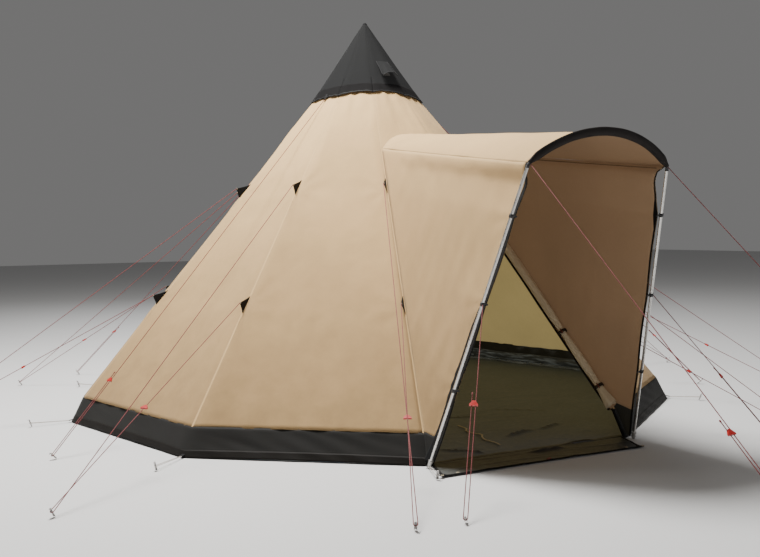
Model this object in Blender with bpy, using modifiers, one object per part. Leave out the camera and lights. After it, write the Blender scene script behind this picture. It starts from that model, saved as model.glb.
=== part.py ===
"""Ten-sided pyramid tent with a walk-in porch, pitched, in metres with +Z up.

The origin is on the ground under the centre pole and the porch faces -Y. A bearing is an
angle about the pole, 0 towards the porch and positive towards +X. Nothing reaches below
the ground, so each peg shows only the part that stands out of it.
"""

import math

import bmesh
import bpy
from mathutils import Matrix, Vector

# Driving sizes of the tent
corner_count = 10
corner_radius = 2.70
apex_height = 3.45
skirt_height = 0.194
skirt_slant = 0.096
cap_hem_height = 2.69
cap_hem_radius = 0.534
cap_lap = 0.11
cloth_width = 0.005
cloth_thickness = 0.004
clearance = 0.0003
overrun = 0.05
weld = 0.00005

# Porch: feet, shoulders and the arch between the shoulders
foot_side_offset = 0.0157
foot_front_offset = 0.0422
shoulder_half_spread = 0.532
porch_lean = 0.646
shoulder_height = 1.903
arch_rise = 0.205
crease_height = 2.20
crease_rise = 0.14
door_edge_strip = 0.064
skirt_edge_strip = 0.040
wall_bottom_height = 0.02
hem_inset = 0.03
hem_drop = 0.045
wall_seam_drop = 0.008
wall_stand_off = 0.0006

# Porch frame tubes and their fittings
tube_radius = 0.010
tube_wall = 0.0012
spigot_radius = 0.0080
spigot_length = 0.045
elbow_arm = 0.028
elbow_bead_length = 0.006
elbow_bead_share = 1.18
boot_radius = 0.015
boot_height = 0.055
boot_floor = 0.014
boot_rim = 0.0025
boot_rim_height = 0.009
boot_toe_radius = 0.0118
boot_toe_height = 0.016
sleeve_half_width = 0.026
sleeve_half_depth = 0.014
sleeve_wall = 0.003

# Clips that hold each porch wall to its leg
clip_heights = (0.52, 1.07, 1.60)
clip_wall = 0.0032
clip_length = 0.024
clip_tab_thickness = 0.004
clip_tab_bite = 0.004

# Centre pole
pole_lower_radius = 0.0165
pole_upper_radius = 0.0142
pole_wall = 0.0015
pole_lower_top = 1.75
pole_upper_bottom = 1.38
pole_foot_radius = 0.030
pole_foot_height = 0.050
pole_foot_floor = 0.014
collar_wall = 0.006
collar_length = 0.045
tip_radius = 0.022
tip_height = 0.050
tip_spigot_length = 0.060

# Cap tip and its vent
cap_tip_radius = 0.020
cap_tip_drop = 0.012
vent_offset = 0.03
vent_top_share = 0.46
vent_top_width = 0.105
vent_width = 0.15
vent_length = 0.225
vent_bulge = 0.032
vent_open_angle = 15
vent_hole_width = 0.075
vent_hole_length = 0.14
vent_hole_drop = 0.03
vent_cloth = 0.003

# Groundsheet
sheet_inset = 0.015
sheet_upstand_height = 0.10
sheet_upstand_inset = 0.050
sheet_lip_side_gap = 0.045
sheet_lip_length = 0.235
sheet_lip_shift = -0.088

# Rolled door and its ties
roll_radius = 0.042
roll_top_share = 0.62
roll_bottom_height = 0.22
roll_top_height = 2.02
roll_side_gap = 0.012
roll_front_gap = 0.0006
roll_flap = 0.007
roll_waist_share = 0.80
tie_heights = (0.34, 0.72)
tie_half_length = 0.012
tie_wall = 0.003
tie_toggle_length = 0.045
tie_toggle_radius = 0.005
tie_toggle_bearing = -40

# Guy patches, cords, pegs and runners
patch_heights = (1.90, 1.00)
patch_rise = 0.075
patch_fall = 0.095
patch_reach = 0.060
patch_tip_drop = 0.045
patch_tip_edge = 0.010
patch_tip_turn = 18
patch_thickness = 0.003
patch_root = 0.0035
porch_patch_shift = 0.010
porch_patch_turn = 22
cord_radius = 0.0025
cord_loop_radius = 0.0115
cord_knot_share = 1.9
cord_tail = 0.055
cord_start_gap = 0.0008
peg_radius = 0.0094
peg_head_radius = 0.0155
peg_head_height = 0.006
peg_cord_height = 0.038
peg_neck = 0.018
runner_width = 0.050
runner_height = 0.032
runner_thickness = 0.0105
runner_bore_gap = 0.0006

# Where the pegs stand and how far up their cords the runners sit
ridge_peg_radius = 3.85
ridge_peg_shares = (1.005, 1.036, 1.013, 0.992, 1.018, 0.965, 0.92, 0.90, 0.90, 0.93)
ridge_peg_turns = (-1.3, 2.8, -4.5, 9.7, -6.5, 0, 0, 0, 0, 0)
ridge_runner_shares = (0.45, 0.42, 0.40, 0.45, 0.49, 0.45, 0.45, 0.45, 0.45, 0.45)
storm_names = ("front_left", "front_right", "rear_left", "rear_right")
storm_hem_bearings = (-72, 72, -144, 144)
storm_peg_radius = 3.18
storm_peg_shares = (1.0, 1.0, 1.07, 1.07)
storm_peg_bearings = (-68, 68, -138, 138)
storm_runner_share = 0.17
porch_peg_spread = 1.20
porch_peg_reach = 3.62
porch_runner_share = 0.50
porch_guy_clip = 1
shoulder_peg_spreads = (-0.35, 1.40)
shoulder_peg_reaches = (5.15, 4.60)
shoulder_runner_share = 0.295

# Facets
round_side_count = 16
cord_bevel_count = 2
tube_bevel_count = 3
loop_step_count = 6
cord_run_count = 3
peg_side_count = 10
arch_step_count = 14
elbow_step_count = 6

half_turn = 180
face_angle = 360 / corner_count
half_face = math.radians(face_angle / 2)

# Places that follow from the sizes above
skirt_seam_radius = corner_radius - skirt_slant
foot_half_spread = corner_radius * math.sin(half_face) + foot_side_offset
foot_reach = corner_radius * math.cos(half_face) + foot_front_offset
shoulder_reach = foot_reach + porch_lean
sheet_lip_half_width = foot_half_spread - boot_radius - sheet_lip_side_gap
sheet_lip_reach = foot_reach + sheet_lip_length
vent_top_height = cap_hem_height + (apex_height - cap_hem_height) * vent_top_share


def collection_named(name):
    """A new collection in the scene."""
    collection = bpy.data.collections.new(name)
    bpy.context.scene.collection.children.link(collection)
    return collection


def clear_scene():
    """Removes what the scene holds, so that the tent stands alone."""
    for thing in list(bpy.data.objects):
        bpy.data.objects.remove(thing, do_unlink=True)


def make_material(name, colour, roughness, metallic=0.0):
    """A Principled BSDF material."""
    material = bpy.data.materials.new(name)
    material.use_nodes = True
    shader = material.node_tree.nodes["Principled BSDF"]
    shader.inputs["Base Color"].default_value = (*colour, 1.0)
    shader.inputs["Roughness"].default_value = roughness
    shader.inputs["Metallic"].default_value = metallic
    return material


def around(radius, bearing, height):
    """The point at a bearing about the pole, in degrees, 0 towards the porch."""
    angle = math.radians(bearing)
    return Vector((radius * math.sin(angle), -radius * math.cos(angle), height))


def between(start, end, share):
    """The value or point at a share of the way from start to end."""
    return start + (end - start) * share


def ridge_radius(height):
    """The outer radius of the tent along a corner ridge, below the cap."""
    body_top_radius = cap_hem_radius - cloth_width - clearance
    if height < skirt_height:
        return between(corner_radius, skirt_seam_radius, height / skirt_height)
    share = (cap_hem_height - height) / (cap_hem_height - skirt_height)
    return between(body_top_radius, skirt_seam_radius, share)


def cap_radius(height):
    """The outer radius of the cap along a corner ridge."""
    share = (apex_height - height) / (apex_height - cap_hem_height)
    return cap_hem_radius * share


def cap_ceiling():
    """The height of the flat inside of the cap's tip."""
    slope = (apex_height - cap_hem_height) / cap_hem_radius
    return apex_height - (cap_tip_radius + cloth_width) * slope


def frame_matrix(origin, x_axis, y_axis):
    """A placement from an origin and two square directions."""
    z_axis = x_axis.cross(y_axis)
    turn = Matrix((x_axis, y_axis, z_axis)).transposed().to_4x4()
    return Matrix.Translation(origin) @ turn


def add_object(name, data, collection, material=None):
    """Links an object with its data to a collection."""
    thing = bpy.data.objects.new(name, data)
    if material is not None:
        data.materials.append(material)
    collection.objects.link(thing)
    return thing


def hide_guide(thing):
    """Marks a cutter or guide as no part of the tent."""
    thing.hide_render = True
    thing.display_type = "WIRE"


def baked_mesh(source):
    """The evaluated, welded mesh of an object, which is removed."""
    bpy.context.view_layer.update()
    depsgraph = bpy.context.evaluated_depsgraph_get()
    mesh = bpy.data.meshes.new_from_object(source.evaluated_get(depsgraph))
    work = bmesh.new()
    work.from_mesh(mesh)
    bmesh.ops.remove_doubles(work, verts=work.verts, dist=weld)
    bmesh.ops.recalc_face_normals(work, faces=work.faces)
    work.to_mesh(mesh)
    work.free()
    mesh.transform(source.matrix_world)
    bpy.data.objects.remove(source, do_unlink=True)
    return mesh


def gathered(name, meshes, collection, material=None):
    """One object of several separate meshes."""
    work = bmesh.new()
    for mesh in meshes:
        work.from_mesh(mesh)
        bpy.data.meshes.remove(mesh)
    whole = bpy.data.meshes.new(name)
    work.to_mesh(whole)
    work.free()
    return add_object(name, whole, collection, material)


def boolean(target, tool, operation):
    """Joins or cuts the target with a tool object."""
    step = target.modifiers.new(tool.name, "BOOLEAN")
    step.operation = operation
    step.solver = "EXACT"
    step.object = tool
    hide_guide(tool)
    return step


def turned(name, profile, steps, closed, collection, material=None, smooth=True):
    """A profile of (radius, height) points, run down its outer side, turned about Z."""
    points = [(radius, 0, height) for radius, height in profile]
    edges = [(i, i + 1) for i in range(len(points) - 1)]
    if closed:
        edges.append((len(points) - 1, 0))
    mesh = bpy.data.meshes.new(name)
    mesh.from_pydata(points, edges, [])
    thing = add_object(name, mesh, collection, material)
    screw = thing.modifiers.new("turn", "SCREW")
    screw.axis = "Z"
    screw.steps = steps
    screw.render_steps = steps
    screw.use_merge_vertices = True
    screw.merge_threshold = weld
    screw.use_smooth_shade = smooth
    return thing


def hollow_tube(name, start, end, outer, inner, collection, material):
    """A straight tube with square open ends."""
    length = (end - start).length
    profile = [(outer, length), (outer, 0), (inner, 0), (inner, length)]
    thing = turned(name, profile, round_side_count, True, collection, material)
    thing.location = start
    thing.rotation_euler = (end - start).to_track_quat("Z", "Y").to_euler()
    return thing


def curved_tube(name, points, radius, resolution, collection, material=None, shares=None):
    """A poly curve with a round section and filled ends."""
    curve = bpy.data.curves.new(name, "CURVE")
    curve.dimensions = "3D"
    curve.bevel_depth = radius
    curve.bevel_resolution = resolution
    curve.use_fill_caps = True
    spline = curve.splines.new("POLY")
    spline.points.add(len(points) - 1)
    for index, point in enumerate(points):
        spline.points[index].co = (*point, 1.0)
        spline.points[index].radius = shares[index] if shares else 1.0
    return add_object(name, curve, collection, material)


def flat_plate(name, outlines, thickness, collection, material=None):
    """A plate from flat outlines, the later ones being holes, centred on its plane."""
    curve = bpy.data.curves.new(name, "CURVE")
    curve.dimensions = "2D"
    curve.fill_mode = "BOTH"
    curve.extrude = thickness / 2
    for outline in outlines:
        spline = curve.splines.new("POLY")
        spline.points.add(len(outline) - 1)
        for index, (x, y) in enumerate(outline):
            spline.points[index].co = (x, y, 0, 1)
        spline.use_cyclic_u = True
    return add_object(name, curve, collection, material)


def cloth_sheet(name, rows, thickness, collection, material=None):
    """A sheet lofted through rows of points, with its thickness set about its middle."""
    work = bmesh.new()
    grid = [[work.verts.new(point) for point in row] for row in rows]
    for low, high in zip(grid, grid[1:]):
        for index in range(len(low) - 1):
            work.faces.new((low[index], low[index + 1], high[index + 1], high[index]))
    bmesh.ops.recalc_face_normals(work, faces=work.faces)
    mesh = bpy.data.meshes.new(name)
    work.to_mesh(mesh)
    work.free()
    sheet = add_object(name, mesh, collection, material)
    solid = sheet.modifiers.new("thickness", "SOLIDIFY")
    solid.thickness = thickness
    solid.offset = 0
    solid.use_even_offset = True
    return sheet


def block(name, size, place, collection):
    """A box cutter of a size, at a placement."""
    work = bmesh.new()
    bmesh.ops.create_cube(work, size=1)
    bmesh.ops.scale(work, vec=size, verts=work.verts)
    mesh = bpy.data.meshes.new(name)
    work.to_mesh(mesh)
    work.free()
    mesh.transform(place)
    return add_object(name, mesh, collection)


def rod(name, radius, length, place, collection):
    """A round cutter along its own Z, centred at a placement."""
    work = bmesh.new()
    bmesh.ops.create_cone(
        work, cap_ends=True, segments=round_side_count, radius1=radius, radius2=radius, depth=length
    )
    mesh = bpy.data.meshes.new(name)
    work.to_mesh(mesh)
    work.free()
    mesh.transform(place)
    return add_object(name, mesh, collection)


# Porch lines


def leg_ends(side):
    """The foot and the shoulder of a porch leg; side is -1 on the left and 1 on the right."""
    foot = Vector((side * foot_half_spread, -foot_reach, 0))
    shoulder = Vector((side * shoulder_half_spread, -shoulder_reach, shoulder_height))
    return foot, shoulder


def leg_point(side, height):
    """The point of a leg's axis at a height."""
    foot, shoulder = leg_ends(side)
    return between(foot, shoulder, height / shoulder_height)


def arch_axes():
    """The in-plane up direction of the porch arch and the direction back to the tent."""
    lean = math.atan2(shoulder_reach - foot_reach, shoulder_height)
    up = Vector((0, -math.sin(lean), math.cos(lean)))
    back = Vector((0, math.cos(lean), math.sin(lean)))
    return up, back


def arch_circle():
    """The radius of the porch arch and half the angle that it spans."""
    radius = (shoulder_half_spread**2 + arch_rise**2) / (2 * arch_rise)
    return radius, math.asin(shoulder_half_spread / radius)


def arch_point(angle):
    """The point of the arch at an angle from its top, positive towards +X."""
    radius, half_span = arch_circle()
    up, _ = arch_axes()
    shoulders = Vector((0, -shoulder_reach, shoulder_height))
    centre = shoulders - up * radius * math.cos(half_span)
    return centre + Vector((radius * math.sin(angle), 0, 0)) + up * radius * math.cos(angle)


def arch_run(inset, steps):
    """Points of the arch from left to right, each end drawn in by a length."""
    radius, half_span = arch_circle()
    reach = half_span - inset / radius
    return [arch_point(between(-reach, reach, i / steps)) for i in range(steps + 1)]


def crease_point(share):
    """The seam of porch roof and tent front, from the left ridge, -1, to the right, 1."""
    height = crease_height + crease_rise * (1 - share * share)
    half_width = ridge_radius(crease_height) * math.sin(half_face)
    apothem = ridge_radius(height) * math.cos(half_face)
    return Vector((share * half_width, -apothem - wall_stand_off - cloth_thickness, height))


# Tent cloth


def doorway_cutter(cutters):
    """A block with the doorway's outline, seen from the front."""
    steps = 8
    side_margin = door_edge_strip
    low = -overrun
    half_bottom = ridge_radius(low) * math.sin(half_face) - side_margin
    outline = [(-half_bottom, low)]
    for i in range(steps + 1):
        share = between(-1, 1, i / steps)
        point = crease_point(share)
        half_width = ridge_radius(crease_height) * math.sin(half_face)
        inner_share = 1 - side_margin / half_width
        outline.append((point.x * inner_share, point.z - side_margin))
    outline.append((half_bottom, low))
    plate = flat_plate("doorway_outline", [outline], corner_radius, cutters)
    mesh = baked_mesh(plate)
    stand = Matrix.Rotation(math.radians(half_turn / 2), 4, "X")
    mesh.transform(Matrix.Translation((0, -corner_radius / 2 - overrun, 0)) @ stand)
    return add_object("doorway_cutter", mesh, cutters)


def patch_frame(number, height):
    """The placement of a guy patch: its plane holds the ridge and the way out."""
    bearing = ridge_bearing(number)
    side = porch_side(number)
    root = around(ridge_radius(height), bearing, height)
    low = around(ridge_radius(height - patch_fall), bearing, height - patch_fall)
    up_ridge = (root - low).normalized()
    out = around(1, bearing + side * porch_patch_turn, 0)
    out = (out - up_ridge * out.dot(up_ridge)).normalized()
    shift = around(porch_patch_shift, bearing + side * half_turn / 2, 0) * abs(side)
    drop = Vector((0, 0, 0))
    if side:
        drop = around(porch_patch_shift * math.tan(half_face), bearing, 0)
    return frame_matrix(root + shift - drop, out, up_ridge)


def ridge_bearing(number):
    """The bearing of corner ridge 1 to 10; 1 is on the left and 3 and 4 flank the porch."""
    return -half_turn / 2 + face_angle * (number - 1)


def porch_side(number):
    """-1 or 1 for the two ridges that carry a porch wall, and 0 for the others."""
    return {3: -1, 4: 1}.get(number, 0)


def patch_outline():
    """The outline of a guy patch: across is the way out, up is along the ridge."""
    half_across = math.cos(math.radians(patch_tip_turn)) * patch_tip_edge / 2
    half_up = math.sin(math.radians(patch_tip_turn)) * patch_tip_edge / 2
    return [
        (-patch_root, patch_rise),
        (-patch_root, -patch_fall),
        (patch_reach - half_across, -patch_tip_drop - half_up),
        (patch_reach + half_across, -patch_tip_drop + half_up),
    ]


def guy_patches(cutters):
    """Two reinforced patches on each ridge, to be joined to the body."""
    meshes = []
    for number in range(1, corner_count + 1):
        for height in patch_heights:
            plate = flat_plate("patch", [patch_outline()], patch_thickness, cutters)
            mesh = baked_mesh(plate)
            mesh.transform(patch_frame(number, height))
            meshes.append(mesh)
    return gathered("guy_patches", meshes, cutters)


def patch_tip(number, height):
    """The outer tip of a guy patch, where its cord starts."""
    return patch_frame(number, height) @ Vector((patch_reach, -patch_tip_drop, 0))


def build_body(parts, cutters, material):
    """The ten sewn gores, with the doorway open under the porch."""
    top_height = cap_hem_height + cap_lap
    top_radius = cap_radius(top_height) - cloth_width - clearance
    hem_radius = ridge_radius(cap_hem_height)
    outer = [(top_radius, top_height), (hem_radius, cap_hem_height)]
    outer.append((skirt_seam_radius, skirt_height))
    inner = [(radius - cloth_width, height) for radius, height in reversed(outer)]
    body = turned("tent_body", outer + inner, corner_count, True, parts, material, False)
    boolean(body, doorway_cutter(cutters), "DIFFERENCE")
    boolean(body, guy_patches(cutters), "UNION")
    return body


def build_skirt(parts, cutters, material):
    """The dark mud skirt under the gores, open at the doorway."""
    seam = skirt_height - clearance
    outer = [(skirt_seam_radius, seam), (corner_radius, 0)]
    inner = [(corner_radius - cloth_width, 0), (skirt_seam_radius - cloth_width, seam)]
    skirt = turned("mud_skirt", outer + inner, corner_count, True, parts, material, False)
    half_width = corner_radius * math.sin(half_face) - skirt_edge_strip
    size = (2 * half_width, corner_radius, skirt_height * 4)
    place = Matrix.Translation((0, -corner_radius, 0))
    boolean(skirt, block("skirt_doorway", size, place, cutters), "DIFFERENCE")
    return skirt


def vent_axes():
    """The vent's hinge point, the way up the cap's front face and the way out of it."""
    apothem = cap_radius(vent_top_height) * math.cos(half_face)
    hinge = Vector((vent_offset, -apothem, vent_top_height))
    slope = cap_hem_radius * math.cos(half_face) / (apex_height - cap_hem_height)
    up = Vector((0, slope, 1)).normalized()
    out = Vector((0, -1, slope)).normalized()
    return hinge, up, out


def build_cap(parts, cutters, material):
    """The dark cap, closed at its tip, with a vent in its front face."""
    shoulder_drop = cap_tip_radius * (apex_height - cap_hem_height) / cap_hem_radius
    outer = [
        (0, apex_height - cap_tip_drop),
        (cap_tip_radius / 2, apex_height - cap_tip_drop - cap_tip_radius / 4),
        (cap_tip_radius, apex_height - shoulder_drop),
        (cap_hem_radius, cap_hem_height),
    ]
    inner = [
        (cap_hem_radius - cloth_width, cap_hem_height),
        (cap_tip_radius, cap_ceiling()),
        (0, cap_ceiling()),
    ]
    cap = turned("apex_cap", outer + inner, corner_count, False, parts, material, False)
    hinge, up, out = vent_axes()
    middle = hinge - up * (vent_hole_drop + vent_hole_length / 2)
    place = frame_matrix(middle, Vector((1, 0, 0)), out)
    size = (vent_hole_width, 2 * overrun, vent_hole_length)
    boolean(cap, block("vent_hole", size, place, cutters), "DIFFERENCE")
    return cap


def build_vent(parts, material):
    """The vent's hood, hinged along its top edge and propped open; it widens downwards."""
    rows = []
    steps = 6
    for i in range(steps + 1):
        down = i / steps
        half_width = between(vent_top_width, vent_width, down) / 2
        row = []
        for j in range(steps + 1):
            across = between(-1, 1, j / steps)
            swell = vent_bulge * down * (1 - across * across)
            row.append(Vector((across * half_width, swell, down * vent_length)))
        rows.append(row)
    flap = cloth_sheet("vent_flap", rows, vent_cloth, parts, material)
    hinge, _, out = vent_axes()
    stand_off = vent_cloth / 2 + clearance
    place = frame_matrix(hinge + out * stand_off, Vector((1, 0, 0)), out)
    turn = Matrix.Rotation(math.radians(-vent_open_angle), 4, "X")
    flap.matrix_world = place @ turn
    return flap


def build_groundsheet(parts, material):
    """The groundsheet: a tray with an upstand on nine sides and a skewed lip under the porch."""
    radius = corner_radius - sheet_inset
    work = bmesh.new()
    ring = []
    for number in list(range(4, corner_count + 1)) + [1, 2, 3]:
        ring.append(work.verts.new(around(radius, ridge_bearing(number), 0)))
    door_line = radius * math.cos(half_face)
    lip = []
    for side, out in ((-1, False), (-1, True), (1, True), (1, False)):
        reach = sheet_lip_reach if out else door_line
        shift = sheet_lip_shift if out else 0
        lip.append(work.verts.new((side * sheet_lip_half_width + shift, -reach, 0)))
    floor = work.faces.new(ring + lip)
    floor.normal_update()
    if floor.normal.z < 0:
        floor.normal_flip()
    sides = [work.edges.get((ring[i], ring[i + 1])) for i in range(len(ring) - 1)]
    raised = bmesh.ops.extrude_edge_only(work, edges=sides)["geom"]
    rim = [item for item in raised if isinstance(item, bmesh.types.BMVert)]
    shrink = (radius - sheet_upstand_inset) / radius
    for corner in rim:
        corner.co = Vector((corner.co.x * shrink, corner.co.y * shrink, sheet_upstand_height))
    bmesh.ops.recalc_face_normals(work, faces=work.faces)
    if floor.normal.z < 0:
        bmesh.ops.reverse_faces(work, faces=work.faces)
    mesh = bpy.data.meshes.new("groundsheet")
    work.to_mesh(mesh)
    work.free()
    sheet = add_object("groundsheet", mesh, parts, material)
    solid = sheet.modifiers.new("thickness", "SOLIDIFY")
    solid.thickness = cloth_thickness
    solid.offset = 1
    solid.use_even_offset = True
    return sheet


# Porch cloth


def roof_front_points(steps):
    """The roof's front edge, just behind the arch sleeve."""
    _, back = arch_axes()
    stand_off = sleeve_half_depth + cloth_thickness / 4 + clearance
    return [point + back * stand_off for point in arch_run(0, steps)]


def build_roof(parts, material):
    """The porch roof, from the seam on the tent's front out to the arch."""
    rows = []
    lengths = 5
    front = roof_front_points(arch_step_count)
    for i in range(lengths + 1):
        row = []
        for j in range(arch_step_count + 1):
            across = between(-1, 1, j / arch_step_count)
            row.append(between(crease_point(across), front[j], i / lengths))
        rows.append(row)
    return cloth_sheet("porch_roof", rows, cloth_thickness, parts, material)


def clip_outline():
    """A clip seen along the leg: a ring with a tab towards the wall's hem."""
    ring = tube_radius + clearance + clip_wall
    bore = tube_radius + clearance
    half_tab = clip_tab_thickness / 2
    start = math.asin(half_tab / ring)
    reach = hem_inset + clip_tab_bite
    outer = []
    for i in range(round_side_count + 1):
        angle = between(start, 2 * math.pi - start, i / round_side_count)
        outer.append((ring * math.cos(angle), ring * math.sin(angle)))
    outer += [(reach, -half_tab), (reach, half_tab)]
    hole = []
    for i in range(round_side_count):
        angle = 2 * math.pi * i / round_side_count
        hole.append((bore * math.cos(angle), bore * math.sin(angle)))
    return [outer, hole]


def leg_clips(side, cutters):
    """The three clips of one wall, to be joined to it."""
    foot, shoulder = leg_ends(side)
    along = (shoulder - foot).normalized()
    inward = Vector((-side, 0, 0))
    inward = (inward - along * inward.dot(along)).normalized()
    meshes = []
    for height in clip_heights:
        mesh = baked_mesh(flat_plate("clip", clip_outline(), clip_length, cutters))
        mesh.transform(frame_matrix(leg_point(side, height), inward, along.cross(inward)))
        meshes.append(mesh)
    return gathered("leg_clips" + side_name(side), meshes, cutters)


def side_name(side):
    """The ending of a left or right piece's name."""
    return "_left" if side < 0 else "_right"


def build_wall(side, parts, cutters, material):
    """A porch wall, from a tent ridge out to its leg, with the clips sewn to its hem."""
    lengths = 6
    heights = 8
    hem_top = leg_point(side, shoulder_height - hem_drop)
    seam_top = crease_point(side).z - wall_seam_drop
    rows = []
    stations = [wall_bottom_height]
    stations += [between(skirt_height, seam_top, i / heights) for i in range(heights + 1)]
    for ridge_height in stations:
        rise = (ridge_height - wall_bottom_height) / (seam_top - wall_bottom_height)
        hem_height = between(wall_bottom_height, hem_top.z, rise)
        stand_off = wall_stand_off + cloth_thickness / 2 * math.tan(half_face)
        root = around(ridge_radius(ridge_height) + stand_off, side * face_angle / 2, ridge_height)
        hem = leg_point(side, hem_height) - Vector((side * hem_inset, 0, 0))
        rows.append([between(root, hem, j / lengths) for j in range(lengths + 1)])
    wall = cloth_sheet("porch_wall" + side_name(side), rows, cloth_thickness, parts, material)
    boolean(wall, leg_clips(side, cutters), "UNION")
    return wall


def build_sleeve(parts, cutters, material):
    """The dark sleeve along the arch: a flattened tube, open at its ends."""
    section = bpy.data.curves.new("sleeve_section", "CURVE")
    section.dimensions = "2D"
    spline = section.splines.new("POLY")
    spline.points.add(round_side_count - 1)
    for index in range(round_side_count):
        angle = 2 * math.pi * index / round_side_count
        across = sleeve_half_depth * math.cos(angle)
        spline.points[index].co = (across, sleeve_half_width * math.sin(angle), 0, 1)
    spline.use_cyclic_u = True
    guide = add_object("sleeve_section", section, cutters)
    hide_guide(guide)
    inset = elbow_arm + clearance
    tube = curved_tube("arch_sleeve_path", arch_run(inset, arch_step_count), 0, 0, cutters)
    tube.data.bevel_mode = "OBJECT"
    tube.data.bevel_object = guide
    tube.data.use_fill_caps = False
    tube.data.twist_mode = "Z_UP"
    sleeve = add_object("arch_sleeve", baked_mesh(tube), parts, material)
    solid = sleeve.modifiers.new("thickness", "SOLIDIFY")
    solid.thickness = sleeve_wall
    solid.offset = -1
    return sleeve


# Porch frame


def elbow_route(side):
    """The elbow's centre line: up the leg past its bead, round the shoulder, along the arch."""
    foot, shoulder = leg_ends(side)
    along = (shoulder - foot).normalized()
    line = arch_run(elbow_arm + 2 * clearance, arch_step_count)
    first, second = (line[0], line[1]) if side < 0 else (line[-1], line[-2])
    arch_way = (second - first).normalized()
    reach = elbow_arm + spigot_length
    leg_side = [shoulder - along * reach, shoulder - along * (elbow_arm + clearance)]
    start = shoulder - along * (elbow_arm - clearance)
    leg_side += [start, start + along * elbow_bead_length]
    leg_side.append(start + along * (elbow_bead_length + 2 * clearance))
    arch_side = [first - arch_way * 3 * clearance, first - arch_way * clearance]
    arch_side.append(first + arch_way * spigot_length)
    bend = []
    for i in range(1, elbow_step_count):
        share = i / elbow_step_count
        before = between(start, shoulder, share)
        after = between(shoulder, arch_side[0], share)
        bend.append(between(before, after, share))
    return leg_side, bend, arch_side


def build_elbow(side, parts, cutters, material):
    """The moulded elbow at a shoulder, with a spigot into the leg and one into the arch."""
    leg_side, bend, arch_side = elbow_route(side)
    thin = spigot_radius / tube_radius
    bead = elbow_bead_share
    shares = [thin, thin, bead, bead, 1.0] + [1.0] * len(bend) + [1.0, thin, thin]
    path = curved_tube(
        "elbow_path", leg_side + bend + arch_side, tube_radius, tube_bevel_count, cutters, None, shares
    )
    elbow = add_object("porch_elbow" + side_name(side), baked_mesh(path), parts, material)
    elbow.data.shade_smooth()
    return elbow


def build_leg(side, parts, material):
    """A porch leg: a straight tube from its boot up to the elbow."""
    foot, shoulder = leg_ends(side)
    along = (shoulder - foot).normalized()
    start = foot + along * (boot_floor + clearance + boot_radius * abs(along.x + along.y) / 2)
    end = shoulder - along * (elbow_arm + clearance * 2)
    name = "porch_leg" + side_name(side)
    return hollow_tube(name, start, end, tube_radius, tube_radius - tube_wall, parts, material)


def build_boot(side, parts, cutters, material):
    """The boot under a leg: a rimmed socket and a narrower toe, cut flat where it stands."""
    foot, shoulder = leg_ends(side)
    along = (shoulder - foot).normalized()
    place = Matrix.Translation(foot) @ along.to_track_quat("Z", "Y").to_matrix().to_4x4()
    rim = boot_radius + boot_rim
    rim_bottom = boot_height - boot_rim_height
    profile = [
        (0, boot_height),
        (rim, boot_height),
        (rim, rim_bottom),
        (boot_radius, rim_bottom - boot_rim),
        (boot_radius, boot_toe_height),
        (boot_toe_radius, boot_toe_height - boot_rim),
        (boot_toe_radius, -boot_height),
        (0, -boot_height),
    ]
    boot = turned("porch_boot" + side_name(side), profile, round_side_count, False, parts, material)
    boot.matrix_world = place
    floor = boot_floor + boot_radius * abs(along.x + along.y) / 2
    socket = Matrix.Translation(foot + along * (floor + boot_height / 2)) @ place.to_3x3().to_4x4()
    bore = rod("boot_bore", tube_radius + clearance, boot_height, socket, cutters)
    boolean(boot, bore, "DIFFERENCE")
    below = Matrix.Translation(foot - Vector((0, 0, overrun)))
    ground = block("ground", (4 * overrun, 4 * overrun, 2 * overrun), below, cutters)
    boolean(boot, ground, "DIFFERENCE")
    return boot


def build_arch(parts, cutters, material):
    """The arch tube inside the sleeve, open at its ends for the elbows."""
    inset = elbow_arm + 2 * clearance
    path = curved_tube("arch_path", arch_run(inset, arch_step_count), tube_radius, tube_bevel_count, cutters)
    path.data.use_fill_caps = False
    arch = add_object("porch_arch_pole", baked_mesh(path), parts, material)
    solid = arch.modifiers.new("thickness", "SOLIDIFY")
    solid.thickness = tube_wall
    solid.offset = -1
    return arch


# Centre pole


def pole_foot_top():
    """The height of the floor of the foot's socket."""
    return cloth_thickness + clearance + pole_foot_floor


def tip_top_height():
    """The top of the pole's tip, just under the inside of the cap."""
    return cap_ceiling() - clearance


def build_pole_foot(parts, material):
    """The foot that spreads the pole's load on the groundsheet."""
    low = cloth_thickness + clearance
    top = low + pole_foot_height
    neck = pole_lower_radius + clearance
    rim = neck + collar_wall
    profile = [
        (0, pole_foot_top()),
        (neck, pole_foot_top()),
        (neck, top),
        (rim, top),
        (pole_foot_radius, low + pole_foot_floor / 2),
        (pole_foot_radius, low),
        (0, low),
    ]
    return turned("centre_pole_foot", profile, round_side_count, False, parts, material)


def build_pole_lower(parts, material):
    """The lower half of the centre pole."""
    start = Vector((0, 0, pole_foot_top() + clearance))
    end = Vector((0, 0, pole_lower_top))
    inner = pole_lower_radius - pole_wall
    return hollow_tube("centre_pole_lower", start, end, pole_lower_radius, inner, parts, material)


def build_pole_upper(parts, material):
    """The upper half, which slides inside the lower one."""
    start = Vector((0, 0, pole_upper_bottom))
    end = Vector((0, 0, tip_top_height() - tip_height))
    inner = pole_upper_radius - pole_wall
    return hollow_tube("centre_pole_upper", start, end, pole_upper_radius, inner, parts, material)


def build_collar(parts, material):
    """The clamping collar on top of the lower half."""
    bore = pole_lower_radius + clearance
    guide = pole_upper_radius + clearance
    top = pole_lower_top + clearance + collar_wall
    bottom = top - collar_length
    outer = bore + collar_wall
    profile = [
        (outer, top),
        (outer, bottom),
        (bore, bottom),
        (bore, pole_lower_top + clearance),
        (guide, pole_lower_top + clearance),
        (guide, top),
    ]
    return turned("centre_pole_collar", profile, round_side_count, True, parts, material)


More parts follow.
